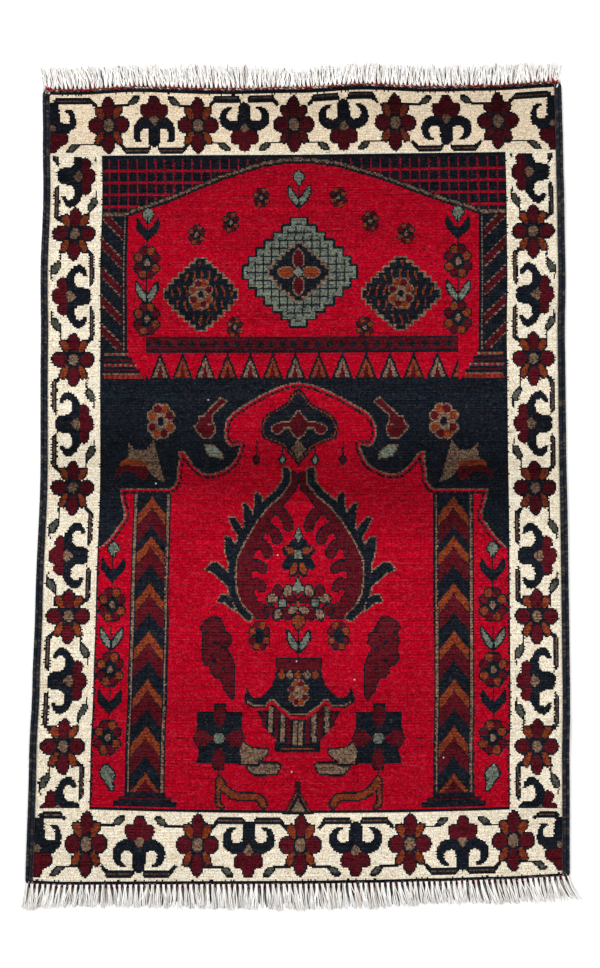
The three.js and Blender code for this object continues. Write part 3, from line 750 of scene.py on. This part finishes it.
# a few pale slips of warp and dark stray knots
strayPlaces = [{"x": -147, "y": 117}, {"x": -228, "y": -17}, {"x": -5, "y": -294}, {"x": 222, "y": -441},
               {"x": -35, "y": -128}, {"x": 84, "y": -322}, {"x": -14, "y": -463}, {"x": 300, "y": -454}]
for row in strayPlaces:
    away = np.hypot(realX - row["x"], realY - row["y"])
    spot = np.unravel_index(np.argmin(away), shape)
    knotColours[spot] = linear((214, 200, 190))
for _ in range(60):
    spot = (hand.integers(8, shape[0] - 8), hand.integers(4, shape[1] - 10))
    if dyeNames[chart[spot]] in ("red", "ivory"):
        knotColours[spot[0], spot[1]:spot[1] + hand.integers(1, 4)] *= 0.45


def linkPiece(name, mesh, material, nodeName):
    piece = bpy.data.objects.new(name, mesh)
    scene.collection.objects.link(piece)
    mesh.materials.clear()
    mesh.materials.append(material)
    mesh.polygons.foreach_set("use_smooth", np.ones(len(mesh.polygons), bool))
    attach(piece, "root")
    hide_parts(nodeName)
    return piece


def readPlaces(items, what):
    places = np.empty(len(items) * 3)
    items.foreach_get(what, places)
    return places.reshape(-1, 3)


def gridMesh(name, across, along):
    # a unit grid, made by the operator; returns where each point and face is in it, from 0 to 1
    bm = bmesh.new()
    bmesh.ops.create_grid(bm, x_segments=across, y_segments=along, size=0.5)
    mesh = bpy.data.meshes.new(name)
    bm.to_mesh(mesh)
    bm.free()
    places, centres = readPlaces(mesh.vertices, "co"), readPlaces(mesh.polygons, "center")
    return mesh, places[:, :2] + 0.5, centres[:, :2] + 0.5


def finishFaces(mesh, *steps):
    # the steps change the mesh by operators, then its faces are turned outward
    bm = bmesh.new()
    bm.from_mesh(mesh)
    for step in steps:
        step(bm)
    bmesh.ops.recalc_face_normals(bm, faces=bm.faces[:])
    bm.to_mesh(mesh)
    bm.free()


def movePoints(mesh, x, y, z):
    places = np.stack([x, y, z], axis=1) * millimetre
    mesh.vertices.foreach_set("co", places.ravel())
    mesh.update()


def paintFaces(mesh, colours):
    # the dye attribute holds the colours given, with any painted shade, shadow or highlight in them
    dye = mesh.attributes.new("dye", "FLOAT_COLOR", "FACE")
    dye.data.foreach_set("color", np.concatenate([colours, np.ones((len(colours), 1))], axis=1).ravel())


def hangOnPoints(mesh, name, x, y):
    place = mesh.attributes.new(name, "FLOAT_VECTOR", "POINT")
    place.data.foreach_set("vector", np.stack([x, y, 0 * x], axis=1).ravel())


def addNode(nodes, kind, values):
    node = nodes.new(kind)
    for socket, value in values.items():
        node.inputs[socket].default_value = value
    return node


# Shared effect: short wool fibres, as a mask to darken by and a height
def makeFibreGroup():
    group = bpy.data.node_groups.new("woolFibres", "ShaderNodeTree")
    group.interface.new_socket("Vector", in_out="INPUT", socket_type="NodeSocketVector")
    for name, way in [("Scale", "INPUT"), ("Darkest", "INPUT"), ("Shade", "OUTPUT"), ("Height", "OUTPUT")]:
        group.interface.new_socket(name, in_out=way, socket_type="NodeSocketFloat")
    entry, leave = group.nodes.new("NodeGroupInput"), group.nodes.new("NodeGroupOutput")
    fibres = addNode(group.nodes, "ShaderNodeTexNoise", {"Detail": 3, "Roughness": 0.65})
    spread = addNode(group.nodes, "ShaderNodeMapRange", {"From Min": 0.25, "From Max": 0.75, "To Max": 1.06})
    group.links.new(entry.outputs["Vector"], fibres.inputs["Vector"])
    group.links.new(entry.outputs["Scale"], fibres.inputs["Scale"])
    group.links.new(fibres.outputs["Fac"], spread.inputs["Value"])
    group.links.new(entry.outputs["Darkest"], spread.inputs["To Min"])
    group.links.new(spread.outputs["Result"], leave.inputs["Shade"])
    group.links.new(fibres.outputs["Fac"], leave.inputs["Height"])
    return group


fibreGroup = makeFibreGroup()


def startMaterial(name, roughness, sheen):
    material = bpy.data.materials.new(name)
    material.use_nodes = True
    shader = material.node_tree.nodes["Principled BSDF"]
    for socket, value in {"Roughness": roughness, "Specular IOR Level": 0.04, "Sheen Weight": sheen,
                          "Sheen Roughness": 0.6}.items():
        shader.inputs[socket].default_value = value
    return material, material.node_tree.nodes, material.node_tree.links, shader


def addFibres(nodes, links, source, scale, darkest):
    fibres = nodes.new("ShaderNodeGroup")
    fibres.node_tree = fibreGroup
    fibres.inputs["Scale"].default_value = scale
    fibres.inputs["Darkest"].default_value = darkest
    links.new(source, fibres.inputs["Vector"])
    return fibres


def readAttribute(nodes, name):
    attribute = nodes.new("ShaderNodeAttribute")
    attribute.attribute_name = name
    return attribute


def raiseSurface(nodes, links, shader, height, strength, distance):
    bump = addNode(nodes, "ShaderNodeBump", {"Strength": strength, "Distance": distance})
    links.new(height, bump.inputs["Height"])
    links.new(bump.outputs["Normal"], shader.inputs["Normal"])


def multiply(nodes, links, colour, factor):
    tint = nodes.new("ShaderNodeMix")
    tint.data_type = "RGBA"
    tint.blend_type = "MULTIPLY"
    tint.inputs["Factor"].default_value = 1
    links.new(colour, tint.inputs[6])
    links.new(factor, tint.inputs[7])
    return tint.outputs[2]


# Knotted pile: one dye to a knot, tufts rounded and a little apart, painted shade in the gaps, fibres over them
pileFinish = {"roughness": 0.95, "sheen": 0.0, "gapShadeDark": 0.55, "tuftHigh": 0.0009, "fibreScale": 1500,
              "fibreDark": 0.78}


def makePileMaterial():
    material, nodes, links, shader = startMaterial("knottedPile", pileFinish["roughness"], pileFinish["sheen"])
    dye, place = readAttribute(nodes, "dye"), readAttribute(nodes, "knotPlace")
    tufts = addNode(nodes, "ShaderNodeTexVoronoi", {"Scale": 1, "Randomness": 0.55})
    tufts.voronoi_dimensions = "2D"
    links.new(place.outputs["Vector"], tufts.inputs["Vector"])
    # painted shade: darker towards the gaps between the tufts
    paintedGapShade = addNode(nodes, "ShaderNodeMapRange", {
        "From Min": 0.15, "From Max": 0.62, "To Min": 1.05, "To Max": pileFinish["gapShadeDark"]})
    links.new(tufts.outputs["Distance"], paintedGapShade.inputs["Value"])
    where = nodes.new("ShaderNodeTexCoord")
    fibres = addFibres(nodes, links, where.outputs["Object"], pileFinish["fibreScale"], pileFinish["fibreDark"])
    colour = multiply(nodes, links, dye.outputs["Color"], paintedGapShade.outputs["Result"])
    colour = multiply(nodes, links, colour, fibres.outputs["Shade"])
    links.new(colour, shader.inputs["Base Color"])
    height = nodes.new("ShaderNodeMath")
    height.operation = "MULTIPLY_ADD"
    height.inputs[1].default_value = -1.1
    links.new(tufts.outputs["Distance"], height.inputs[0])
    links.new(fibres.outputs["Height"], height.inputs[2])
    raiseSurface(nodes, links, shader, height.outputs["Value"], 0.55, pileFinish["tuftHigh"])
    return material


# Yarn that shows as yarn: cords, twined strips, fringe and the woven back
def makeYarnMaterial(name, scale, darkest, roughness, bumpHeight):
    material, nodes, links, shader = startMaterial(name, roughness, 0.0)
    dye = readAttribute(nodes, "dye")
    where = nodes.new("ShaderNodeTexCoord")
    fibres = addFibres(nodes, links, where.outputs["Object"], scale, darkest)
    links.new(multiply(nodes, links, dye.outputs["Color"], fibres.outputs["Shade"]),
        shader.inputs["Base Color"])
    raiseSurface(nodes, links, shader, fibres.outputs["Height"], 0.5, bumpHeight)
    return material


pileMaterial = makePileMaterial()
overcastMaterial = makeYarnMaterial("overcastWool", 1100, 0.7, 0.9, 0.0003)
twinedMaterial = makeYarnMaterial("twinedWool", 1300, 0.75, 0.9, 0.0003)
fringeMaterial = makeYarnMaterial("warpYarn", 1700, 0.82, 0.88, 0.0002)
backMaterial = makeYarnMaterial("wovenBack", 700, 0.72, 0.94, 0.0005)
print("materials made")

# Foundation and woven back, one closed sheet under the pile
foundationSettings = {"across": 126, "along": 191, "thick": 2.0, "dull": 0.82, "inset": 0.6,
                      "lies": [-632, -526, 0, 519, 630]}


def makeFoundation():
    mesh, places, _ = gridMesh("foundation", foundationSettings["across"], foundationSettings["along"])
    inset = foundationSettings["inset"]
    wide, long = knotting["right"] - knotting["left"] - 2 * inset, knotting["arch"] - knotting["foot"] - 2 * inset
    x, y = onCloth(knotting["left"] + inset + places[:, 0] * wide, knotting["foot"] + inset + places[:,
        1] * long)
    movePoints(mesh, x, y, lift(x, y) + foundationSettings["thick"] + 0.1)
    finishFaces(mesh, lambda bm: bmesh.ops.solidify(
        bm, geom=bm.faces[:], thickness=foundationSettings["thick"] * millimetre))
    # the shell's faces take the colours of the knots over them, with their painted nap shade and highlights
    middles = readPlaces(mesh.polygons, "center") / millimetre
    left, right = leftEdge(middles[:, 1]), rightEdge(middles[:, 1])
    cord = cloth["cordWidth"] + cloth["seam"]
    across = (middles[:, 0] - left - cord) / (right - left - 2 * cord)
    along = np.interp(middles[:, 1], foundationSettings["lies"],
                      [knotting["foot"], knotting["fieldFoot"], 0, knotting["fieldArch"], knotting["arch"]])
    column = np.clip((across * knotting["across"]).astype(int), 0, knotting["across"] - 1)
    row = ((along - knotting["foot"]) / (knotting["arch"] - knotting["foot"]) * knotting["along"]).astype(int)
    row = np.clip(row, 0, knotting["along"] - 1)
    paintFaces(mesh, knotColours[row, column] * foundationSettings["dull"] + 0.02)
    return linkPiece("foundation", mesh, backMaterial, "rug_cloth")


foundation = makeFoundation()

# Pile in three lengths side by side, one face to a knot
pileSettings = {"unevenHeight": 0.22, "edgeHeight": 2.6, "ragged": 0.7}
heightGrid = np.random.default_rng(21).normal(0, 1, (knotting["along"] + 1, knotting["across"] + 1))
swell = softNoise(heightGrid.shape, (60, 40), 22)


def makePileLength(name, firstColumn, lastColumn):
    count = lastColumn - firstColumn
    mesh, places, centres = gridMesh(name, count, knotting["along"])
    column = np.rint(firstColumn + places[:, 0] * count).astype(int)
    row = np.rint(places[:, 1] * knotting["along"]).astype(int)
    flatX = knotting["left"] + column / knotting["across"] * (knotting["right"] - knotting["left"])
    flatY = knotting["foot"] + row / knotting["along"] * (knotting["arch"] - knotting["foot"])
    x, y = onCloth(flatX, flatY)
    ragged = pileSettings["ragged"] * np.tanh(heightGrid[row, column])
    y = y + np.where(row % knotting["along"] == 0, ragged, 0)
    toEdge = np.minimum(np.minimum(column, knotting["across"] - column) * 2.16,
                        np.minimum(row, knotting["along"] - row) * 2.2)
    rim = np.clip(1 - toEdge / cloth["rimWidth"], 0, 1)
    top = cloth["thickness"] - cloth["rimDrop"] * rim * rim - 0.35
    top = top + pileSettings["unevenHeight"] * (0.6 * heightGrid[row, column] + swell[row, column])
    top = np.where(toEdge == 0, pileSettings["edgeHeight"], top)
    movePoints(mesh, x, y, np.minimum(top, cloth["thickness"] + 0.3) + lift(x, y))
    faceColumn = np.floor(firstColumn + centres[:, 0] * count).astype(int)
    faceRow = np.floor(centres[:, 1] * knotting["along"]).astype(int)
    paintFaces(mesh, knotColours[faceRow, faceColumn])
    hangOnPoints(mesh, "knotPlace", column.astype(float), row.astype(float))
    return linkPiece(name, mesh, pileMaterial, "rug_cloth")


third = knotting["across"] // 3
pileLengths = [makePileLength("pile_left", 0, third), makePileLength("pile_middle", third, 2 * third),
               makePileLength("pile_right", 2 * third, knotting["across"])]
print("pile laid")


# A tube is closed at a large size, in millimetres, so that only its seam and no short step is merged
blankTube = {"radius": 1000, "length": 100000}


def tubeMesh(name, around, along):
    # a closed tube from a grid; returns the turn and station of each point and each face
    mesh, places, _ = gridMesh(name, around, along)
    angle = places[:, 0] * 2 * math.pi
    movePoints(mesh, np.cos(angle) * blankTube["radius"], np.sin(angle) * blankTube["radius"],
               places[:, 1] * blankTube["length"])
    finishFaces(mesh, lambda bm: bmesh.ops.remove_doubles(bm, verts=bm.verts[:], dist=0.01),
        lambda bm: bmesh.ops.holes_fill(bm, edges=[edge for edge in bm.edges if edge.is_boundary], sides=0))
    points, middles = readPlaces(mesh.vertices, "co"), readPlaces(mesh.polygons, "center")
    turn, faceTurn = np.arctan2(points[:, 1], points[:, 0]), np.arctan2(middles[:, 1], middles[:, 0])
    length = blankTube["length"] * millimetre
    return mesh, turn, points[:, 2] / length, faceTurn, middles[:, 2] / length


def joinPieces(name, pieces):
    first = pieces[0]
    with bpy.context.temp_override(active_object=first, selected_editable_objects=pieces, object=first):
        bpy.ops.object.join()
    first.name = name
    return first


# Side cords: two ribs of warps, wrapped with dark wool
cordSettings = {"wraps": 500, "stepsToWrap": 3, "around": 10, "ribHalf": 2.7, "swell": 0.32, "fleck": 0.22,
                "outerFleck": 0.34, "dark": (30, 34, 43), "brown": (66, 60, 54)}
cordEnds = {-1: {"foot": -419, "arch": -415}, 1: {"foot": 411, "arch": 419}}
cycle = 997  # after so many wraps or turns the yarn's sizes and dyes repeat


def makeCord(name, side, node):
    stations = cordSettings["wraps"] * cordSettings["stepsToWrap"]
    ribs = []
    for rib in range(2):
        mesh, turn, station, faceTurn, faceStation = tubeMesh(f"{name}_rib{rib}", cordSettings["around"],
            stations)
        footEnd, archEnd = [between(endRows, "x", cordEnds[side][end], end) for end in ("foot", "arch")]
        y = footEnd + 0.4 + station * (archEnd - footEnd - 0.8)
        edge = leftEdge(y) if side < 0 else rightEdge(y)
        inward = cordSettings["ribHalf"] * (1 if rib == 0 else 3.05)
        wrapPhase = station * cordSettings["wraps"] + (turn * side) / (2 * math.pi)
        wrap = np.abs(np.sin(wrapPhase * math.pi)) ** 0.6
        wrapNumber = np.floor(wrapPhase).astype(int) % cycle
        wrapSize = np.random.default_rng(31 + rib).normal(0, 1, cycle)[wrapNumber]
        swell = cordSettings["swell"] * (wrap - 0.6 + 0.3 * wrapSize)
        closing = np.clip(np.minimum(station, 1 - station) * 400, 0.35, 1) ** 0.5
        across = (cordSettings["ribHalf"] + swell) * closing
        high = (cloth["cordHeight"] / 2 - 0.25 + swell) * closing
        x = edge - side * inward + across * np.cos(turn)
        z = np.maximum(cloth["cordHeight"] / 2 + high * np.sin(turn), 0.02) + lift(x, y)
        movePoints(mesh, x, y, z)
        facePhase = faceStation * cordSettings["wraps"] + faceTurn * side / (2 * math.pi)
        faceWrap = np.floor(facePhase).astype(int) % cycle
        flecked = np.random.default_rng(41 + rib + side).uniform(0, 1, cycle)[faceWrap]
        outer = np.cos(faceTurn) * side > 0.2 if rib == 0 else np.zeros(len(faceTurn), bool)
        isBrown = (flecked < np.where(outer, cordSettings["outerFleck"], cordSettings["fleck"]))[:, None]
        lightness = (1 + 0.22 * np.random.default_rng(51 + rib).normal(0, 1, cycle)[faceWrap])[:, None]
        colours = np.where(isBrown, linear(cordSettings["brown"]), linear(cordSettings["dark"]))
        paintFaces(mesh, colours * np.clip(lightness, 0.5, 1.6))
        finishFaces(mesh)
        ribs.append(linkPiece(f"{name}_rib{rib}", mesh, overcastMaterial, node))
    return joinPieces(name, ribs)


cordLeft = makeCord("overcast_left", -1, "side_cord_left")
cordRight = makeCord("overcast_right", 1, "side_cord_right")
print("side cords wrapped")

# Twined strips: two rows of weft twined over the warps at each end
twineSettings = {
    "rows": 2, "length": 838.0, "pitch": 5.2, "stepsToTurn": 6, "inset": 0.9, "firstRow": 1.3, "nextRow": 2.45,
    "sway": 0.5, "rise": 1.05, "halfWide": 0.78, "halfHigh": 1.0, "middleHeight": 2.25}
twineDyes = {
    "arch": {"dyes": [(140, 24, 36), (140, 86, 58), (228, 222, 212), (60, 40, 34)],
             "shares": [0.38, 0.26, 0.18, 0.18]},
    "foot": {"dyes": [(92, 26, 28), (74, 52, 40), (190, 180, 166), (44, 28, 26)],
             "shares": [0.42, 0.22, 0.06, 0.30]}}


def makeTwine(end, node):
    settings, wool = twineSettings, twineDyes[end]
    sign = 1 if end == "arch" else -1
    turns = int(settings["length"] / settings["pitch"])
    strands = []
    for rowNumber in range(settings["rows"]):
        for strand in range(2):
            mesh, turn, station, faceTurn, faceStation = tubeMesh(
                f"twine_{end}_{rowNumber}_{strand}", 6, turns * settings["stepsToTurn"])
            edgeY = between(endRows, "x", 0.0, end)
            startX, stopX = leftEdge(edgeY) + settings["inset"], rightEdge(edgeY) - settings["inset"]
            x = startX + station * (stopX - startX)
            twist = station * turns * 2 * math.pi + strand * math.pi + rowNumber * 1.3
            edgeY = between(endRows, "x", x, end)
            middleY = edgeY + sign * (cloth["seam"] + settings["firstRow"] + rowNumber * settings["nextRow"])
            thin = np.clip(np.minimum(station, 1 - station) * 160, 0.3, 1)
            y = middleY + settings["sway"] * np.cos(twist) + settings["halfWide"] * np.cos(turn) * thin
            height = settings["middleHeight"] + settings["rise"] * np.sin(twist)
            z = height + settings["halfHigh"] * np.sin(turn) * thin
            movePoints(mesh, x, y, z + lift(x, y))
            halfTurn = np.floor(faceStation * turns + strand * 0.5).astype(int) % cycle
            chosen = np.random.default_rng(61 + rowNumber * 3 + strand + sign).choice(
                len(wool["dyes"]), cycle, p=wool["shares"])[halfTurn]
            lightness = 1 + 0.2 * np.random.default_rng(71 + rowNumber).normal(0, 1, cycle)[halfTurn]
            colours = np.array([linear(colour) for colour in wool["dyes"]])[chosen]
            paintFaces(mesh, colours * np.clip(lightness, 0.5, 1.5)[:, None])
            finishFaces(mesh)
            strands.append(linkPiece(mesh.name, mesh, twinedMaterial, node))
    return joinPieces(f"twined_strip_{end}", strands)


twineArch = makeTwine("arch", "fringe_arch_end")
twineFoot = makeTwine("foot", "fringe_foot_end")
print("ends twined")


def arrayMesh(name, around, along, count):
    # one closed yarn, arrayed; the copies are then laid one by one
    mesh, turn, station, _, _ = tubeMesh(name, around, along)
    carrier = bpy.data.objects.new(name, mesh)
    scene.collection.objects.link(carrier)
    array = carrier.modifiers.new("copies", "ARRAY")
    array.count = count
    array.use_relative_offset = False
    array.use_constant_offset = True
    array.constant_offset_displace = (0.01, 0, 0)
    evaluated = carrier.evaluated_get(bpy.context.evaluated_depsgraph_get())
    arrayed = bpy.data.meshes.new_from_object(evaluated)
    bpy.data.objects.remove(carrier)
    bpy.data.meshes.remove(mesh)
    arrayed.name = name
    return arrayed, turn, station


# Fringe: locks of loose warp yarn at the arch end, knotted tassels at the foot. Widths, heights and
# lengths are in millimetres; a layer with shift 0.5 stands between the locks.
fringeSettings = {"arch": {"locks": 118, "inset": 3, "wander": 2.4, "gather": 2.4, "unevenness": 2.4,
    "partings": [-405, -47], "rootDepth": 1.6}, "foot": {"locks": 100, "inset": 2, "wander": 2.2,
    "gather": 1.7, "unevenness": 2.0, "partings": [-347, -195], "rootDepth": 4.6}, "partingSpread": 2.6,
    "partingReach": 30, "stations": 8, "around": 4}
fringeLayers = {
    "arch": [
        # painted shadow: this low layer of grey to near-black yarn between the locks stands for the shade in the
        # gaps
        {"yarns": 7, "shift": 0.5, "radius": 0.6, "rootSpread": 2.4, "tipSpread": 4.6, "scatter": 3.0,
         "pinch": 0.0, "reach": (0.5, 1.0), "rootZ": (1.4, 2.4), "tipZ": (0.8, 1.4),
         "dyes": [(206, 199, 191), (170, 160, 150), (124, 116, 108), (56, 58, 56)]},
        {"yarns": 7, "shift": 0.0, "radius": 0.7, "rootSpread": 1.3, "tipSpread": 4.2, "scatter": 3.3,
         "pinch": 0.0, "reach": (0.84, 1.05), "rootZ": (2.6, 3.8), "tipZ": (1.8, 3.2),
         "dyes": [(255, 255, 254), (254, 252, 249), (248, 244, 240), (230, 224, 217)]},
        {"yarns": 4, "shift": 0.5, "radius": 0.68, "rootSpread": 2.3, "tipSpread": 1.2, "scatter": 0.5,
         "pinch": 0.0, "reach": (0.10, 0.30), "rootZ": (2.2, 3.6), "tipZ": (1.2, 2.4),
         "dyes": [(132, 12, 26), (110, 18, 26), (72, 34, 26), (34, 28, 28)]}],
    "foot": [
        # painted shadow: this low layer of dark grey yarn between the tassels stands for the shade in the gaps
        {"yarns": 7, "shift": 0.5, "radius": 0.75, "rootSpread": 2.6, "tipSpread": 4.4, "scatter": 1.0,
         "pinch": 0.0, "reach": (0.66, 0.96), "rootZ": (1.2, 2.2), "tipZ": (0.5, 0.9),
         "dyes": [(46, 48, 42), (92, 88, 80), (66, 67, 60), (140, 132, 122), (178, 170, 160)]},
        {"yarns": 8, "shift": 0.0, "radius": 0.74, "rootSpread": 2.3, "tipSpread": 4.1, "scatter": 1.5,
         "pinch": 0.45, "reach": (0.90, 1.02), "rootZ": (3.6, 4.6), "tipZ": (1.4, 3.0),
         "dyes": [(255, 255, 254), (255, 254, 252), (250, 248, 244), (238, 233, 227), (214, 206, 197)]},
        {"yarns": 4, "shift": 0.5, "radius": 0.7, "rootSpread": 1.8, "tipSpread": 1.4, "scatter": 0.6,
         "pinch": 0.0, "reach": (0.06, 0.22), "rootZ": (3.0, 3.8), "tipZ": (1.6, 2.6),
         "dyes": [(96, 14, 22), (64, 18, 22), (30, 26, 26)]}]}
# Bright tufts of the weft wool where the strip ends at the two upper corners, each with a pale knot below
cornerTufts = [
    {"x": -413, "y": 629, "leanX": 9, "leanY": -5.5, "dye": (176, 8, 38)},
    {"x": -412, "y": 624, "leanX": 4, "leanY": 4, "dye": (120, 8, 24)},
    {"x": -409, "y": 618, "leanX": 2.5, "leanY": 0.5, "dye": (240, 236, 228)},
    {"x": 412, "y": 639, "leanX": -4, "leanY": 3.5, "dye": (184, 20, 46)},
    {"x": 412, "y": 637, "leanX": -6, "leanY": 0, "dye": (130, 10, 28)},
    {"x": 415.5, "y": 628, "leanX": 1.5, "leanY": 4, "dye": (236, 232, 224)}]


clothEnd = 639  # past it the yarns lie as high as the cloth's own end


def unevenAt(number, column):
    value = math.sin(number * 12.9898 + column * 78.233) * 43758.5453
    return 2 * (value - math.floor(value)) - 1


def layYarns(mesh, x, y, z):
    z = z + lift(x, np.clip(y, -clothEnd, clothEnd))
    movePoints(mesh, x.ravel(), y.ravel(), z.ravel())


def makeFringeLayer(end, number, layer, node):
    settings = fringeSettings[end]
    sign = 1 if end == "arch" else -1
    locks = settings["locks"] - (1 if layer["shift"] else 0)
    count = locks * layer["yarns"]
    maker = np.random.default_rng(81 + sign + 10 * number)
    mesh, turn, station = arrayMesh(f"fringe_{end}_{number}", fringeSettings["around"],
                                    fringeSettings["stations"] - 1, count)
    nearY = 630.0 * sign
    lock = np.arange(locks) + layer["shift"]
    x = leftEdge(nearY) + settings["inset"] + (rightEdge(nearY) - leftEdge(nearY) - 2 * settings["inset"]) * (
        lock / (settings["locks"] - 1))
    edge = between(endRows, "x", x, end)
    uneven = np.array([[unevenAt(place, column) for place in lock] for column in (1, 2, 3)])
    reach = between(endRows, "x", x, f"{end}Reach") + settings["unevenness"] * uneven[0]
    lean = between(endRows, "x", x, f"{end}Lean")
    for parting in settings["partings"]:
        away = x - parting
        near = np.clip(1 - np.abs(away) / fringeSettings["partingReach"], 0, 1)
        lean = lean + np.sign(away) * fringeSettings["partingSpread"] * near
    gathered = np.sin(lock * 0.83 + 1) + np.sin(lock * 0.37 + 2) + np.sin(lock * 1.31)
    tipX = x + lean + settings["gather"] * gathered + settings["wander"] * uneven[1]
    rootY = edge + sign * (cloth["seam"] + cloth["stripWidth"] - settings["rootDepth"])
    tipY = edge + sign * (cloth["seam"] + cloth["stripWidth"] + reach)
    yarn = np.arange(count)
    inNumber = yarn // layer["yarns"]
    inLock = (yarn % layer["yarns"] + 0.5) / layer["yarns"] * 2 - 1
    along = np.linspace(0, 1, fringeSettings["stations"])[None, :]
    rootOff = (inLock * layer["rootSpread"] + maker.normal(0, 0.25, count))[:, None]
    wide = (1 + 0.3 * uneven[2])[inNumber]
    tipOff = (inLock * layer["tipSpread"] * wide + maker.normal(0, layer["scatter"], count))[:, None]
    share = along * maker.uniform(*layer["reach"], count)[:, None]
    bow = layer["scatter"] * (maker.normal(0, 0.45, count)[:, None] * np.sin(along * math.pi)
                              + maker.normal(0, 0.22, count)[:, None] * np.sin(along * 2 * math.pi))
    pinched = 1 - layer["pinch"] * np.exp(-((along - 0.18) / 0.14) ** 2)
    spread = (rootOff * (1 - along) + tipOff * along + bow) * pinched
    lineX = x[inNumber][:, None] + (tipX - x)[inNumber][:, None] * share ** 1.3 + spread
    lineY = rootY[inNumber][:, None] + (tipY - rootY)[inNumber][:, None] * share
    rootZ = maker.uniform(*layer["rootZ"], count)[:, None]
    tipZ = maker.uniform(*layer["tipZ"], count)[:, None]
    falling = along ** 0.7
    lineZ = rootZ * (1 - falling) + tipZ * falling + 0.3 * np.sin(along * 5 + maker.uniform(0, 6, count)[:,
        None])
    radius = layer["radius"] * (1 - 0.35 * along ** 2) * maker.uniform(0.8, 1.15, count)[:, None]
    lineZ = np.maximum(lineZ, 0.9 * radius)
    stationNumber = np.rint(station * (fringeSettings["stations"] - 1)).astype(int)
    runX, runY = np.gradient(lineX, axis=1), np.gradient(lineY, axis=1)
    size = np.sqrt(runX ** 2 + runY ** 2) + 1e-9
    sideX, sideY = runY / size, -runX / size
    lineX, lineY, lineZ, sideX, sideY, radius = [
        values[:, stationNumber] for values in (lineX, lineY, lineZ, sideX, sideY, radius)]
    layYarns(mesh, lineX + sideX * np.cos(turn) * radius, lineY + sideY * np.cos(turn) * radius,
             np.maximum(lineZ + np.sin(turn) * radius * 0.9, 0.05))
    colours = linear(np.array(layer["dyes"])[maker.integers(0, len(layer["dyes"]), count)])
    colours = colours * maker.uniform(0.88, 1.04, (count, 1))
    paintFaces(mesh, np.repeat(colours, len(mesh.polygons) // count, axis=0))
    finishFaces(mesh)
    return linkPiece(f"fringe_{end}_{number}", mesh, fringeMaterial, node)


def makeFringe(end, node):
    layers = [makeFringeLayer(end, number, layer, node) for number, layer in enumerate(fringeLayers[end])]
    return joinPieces(f"fringe_{end}", layers)


def makeCornerTufts():
    tufts = []
    for number, tuft in enumerate(cornerTufts):
        maker = np.random.default_rng(200 + number)
        count = 5
        mesh, turn, station = arrayMesh(f"tuft_{number}", fringeSettings["around"], 3, count)
        spread = maker.normal(0, 0.5, (count, 2))
        along = station * maker.uniform(0.8, 1.1, (count, 1))
        layYarns(mesh, tuft["x"] + spread[:, :1] + along * tuft["leanX"] + 0.7 * np.cos(turn),
                 tuft["y"] + spread[:, 1:] + along * tuft["leanY"] + 0.5 * np.cos(turn),
                 6.6 + 1.6 * np.sin(along * 2.4) + 0.7 * np.sin(turn))
        shades = linear(tuft["dye"]) * maker.uniform(0.75, 1.1, (count, 1))
        paintFaces(mesh, np.repeat(shades, len(mesh.polygons) // count, axis=0))
        finishFaces(mesh)
        tufts.append(linkPiece(f"tuft_{number}", mesh, fringeMaterial, "fringe_arch_end"))
    return joinPieces("corner_tufts", tufts)


fringeArch = makeFringe("arch", "fringe_arch_end")
fringeFoot = makeFringe("foot", "fringe_foot_end")
cornerTuft = makeCornerTufts()
print("fringe laid")

# Pale floor and soft studio light
studio = {"floorSize": 9.0, "floorColour": (250, 250, 249), "world": 0.78, "key": 78.0, "fill": 26.0}
bm = bmesh.new()
bmesh.ops.create_grid(bm, x_segments=2, y_segments=2, size=studio["floorSize"] / 2)
bmesh.ops.translate(bm, verts=bm.verts[:], vec=(0, 0, -0.0003))
floorMesh = bpy.data.meshes.new("floor")
bm.to_mesh(floorMesh)
bm.free()
floor = bpy.data.objects.new("floor", floorMesh)
scene.collection.objects.link(floor)
floorMaterial, floorNodes, floorLinks, floorShader = startMaterial("paleFloor", 0.85, 0.0)
floorShader.inputs["Base Color"].default_value = (*linear(studio["floorColour"]), 1)
floorMesh.materials.append(floorMaterial)


def addLamp(name, place, size, power):
    lamp = bpy.data.lights.new(name, "AREA")
    lamp.shape = "RECTANGLE"
    lamp.size, lamp.size_y = size
    lamp.energy = power
    lampObject = bpy.data.objects.new(name, lamp)
    lampObject.location = place
    lampObject.rotation_euler = (-Vector(place)).to_track_quat("-Z", "Y").to_euler()
    scene.collection.objects.link(lampObject)


addLamp("key", (-1.4, 1.9, 2.6), (2.0, 2.0), studio["key"])
addLamp("fill", (1.8, -1.2, 2.4), (2.4, 2.4), studio["fill"])
world = bpy.data.worlds.new("studio")
world.use_nodes = True
world.node_tree.nodes["Background"].inputs["Color"].default_value = (1, 1, 1, 1)
world.node_tree.nodes["Background"].inputs["Strength"].default_value = studio["world"]
scene.world = world
scene.view_settings.view_transform = "Standard"
scene.view_settings.look = "None"
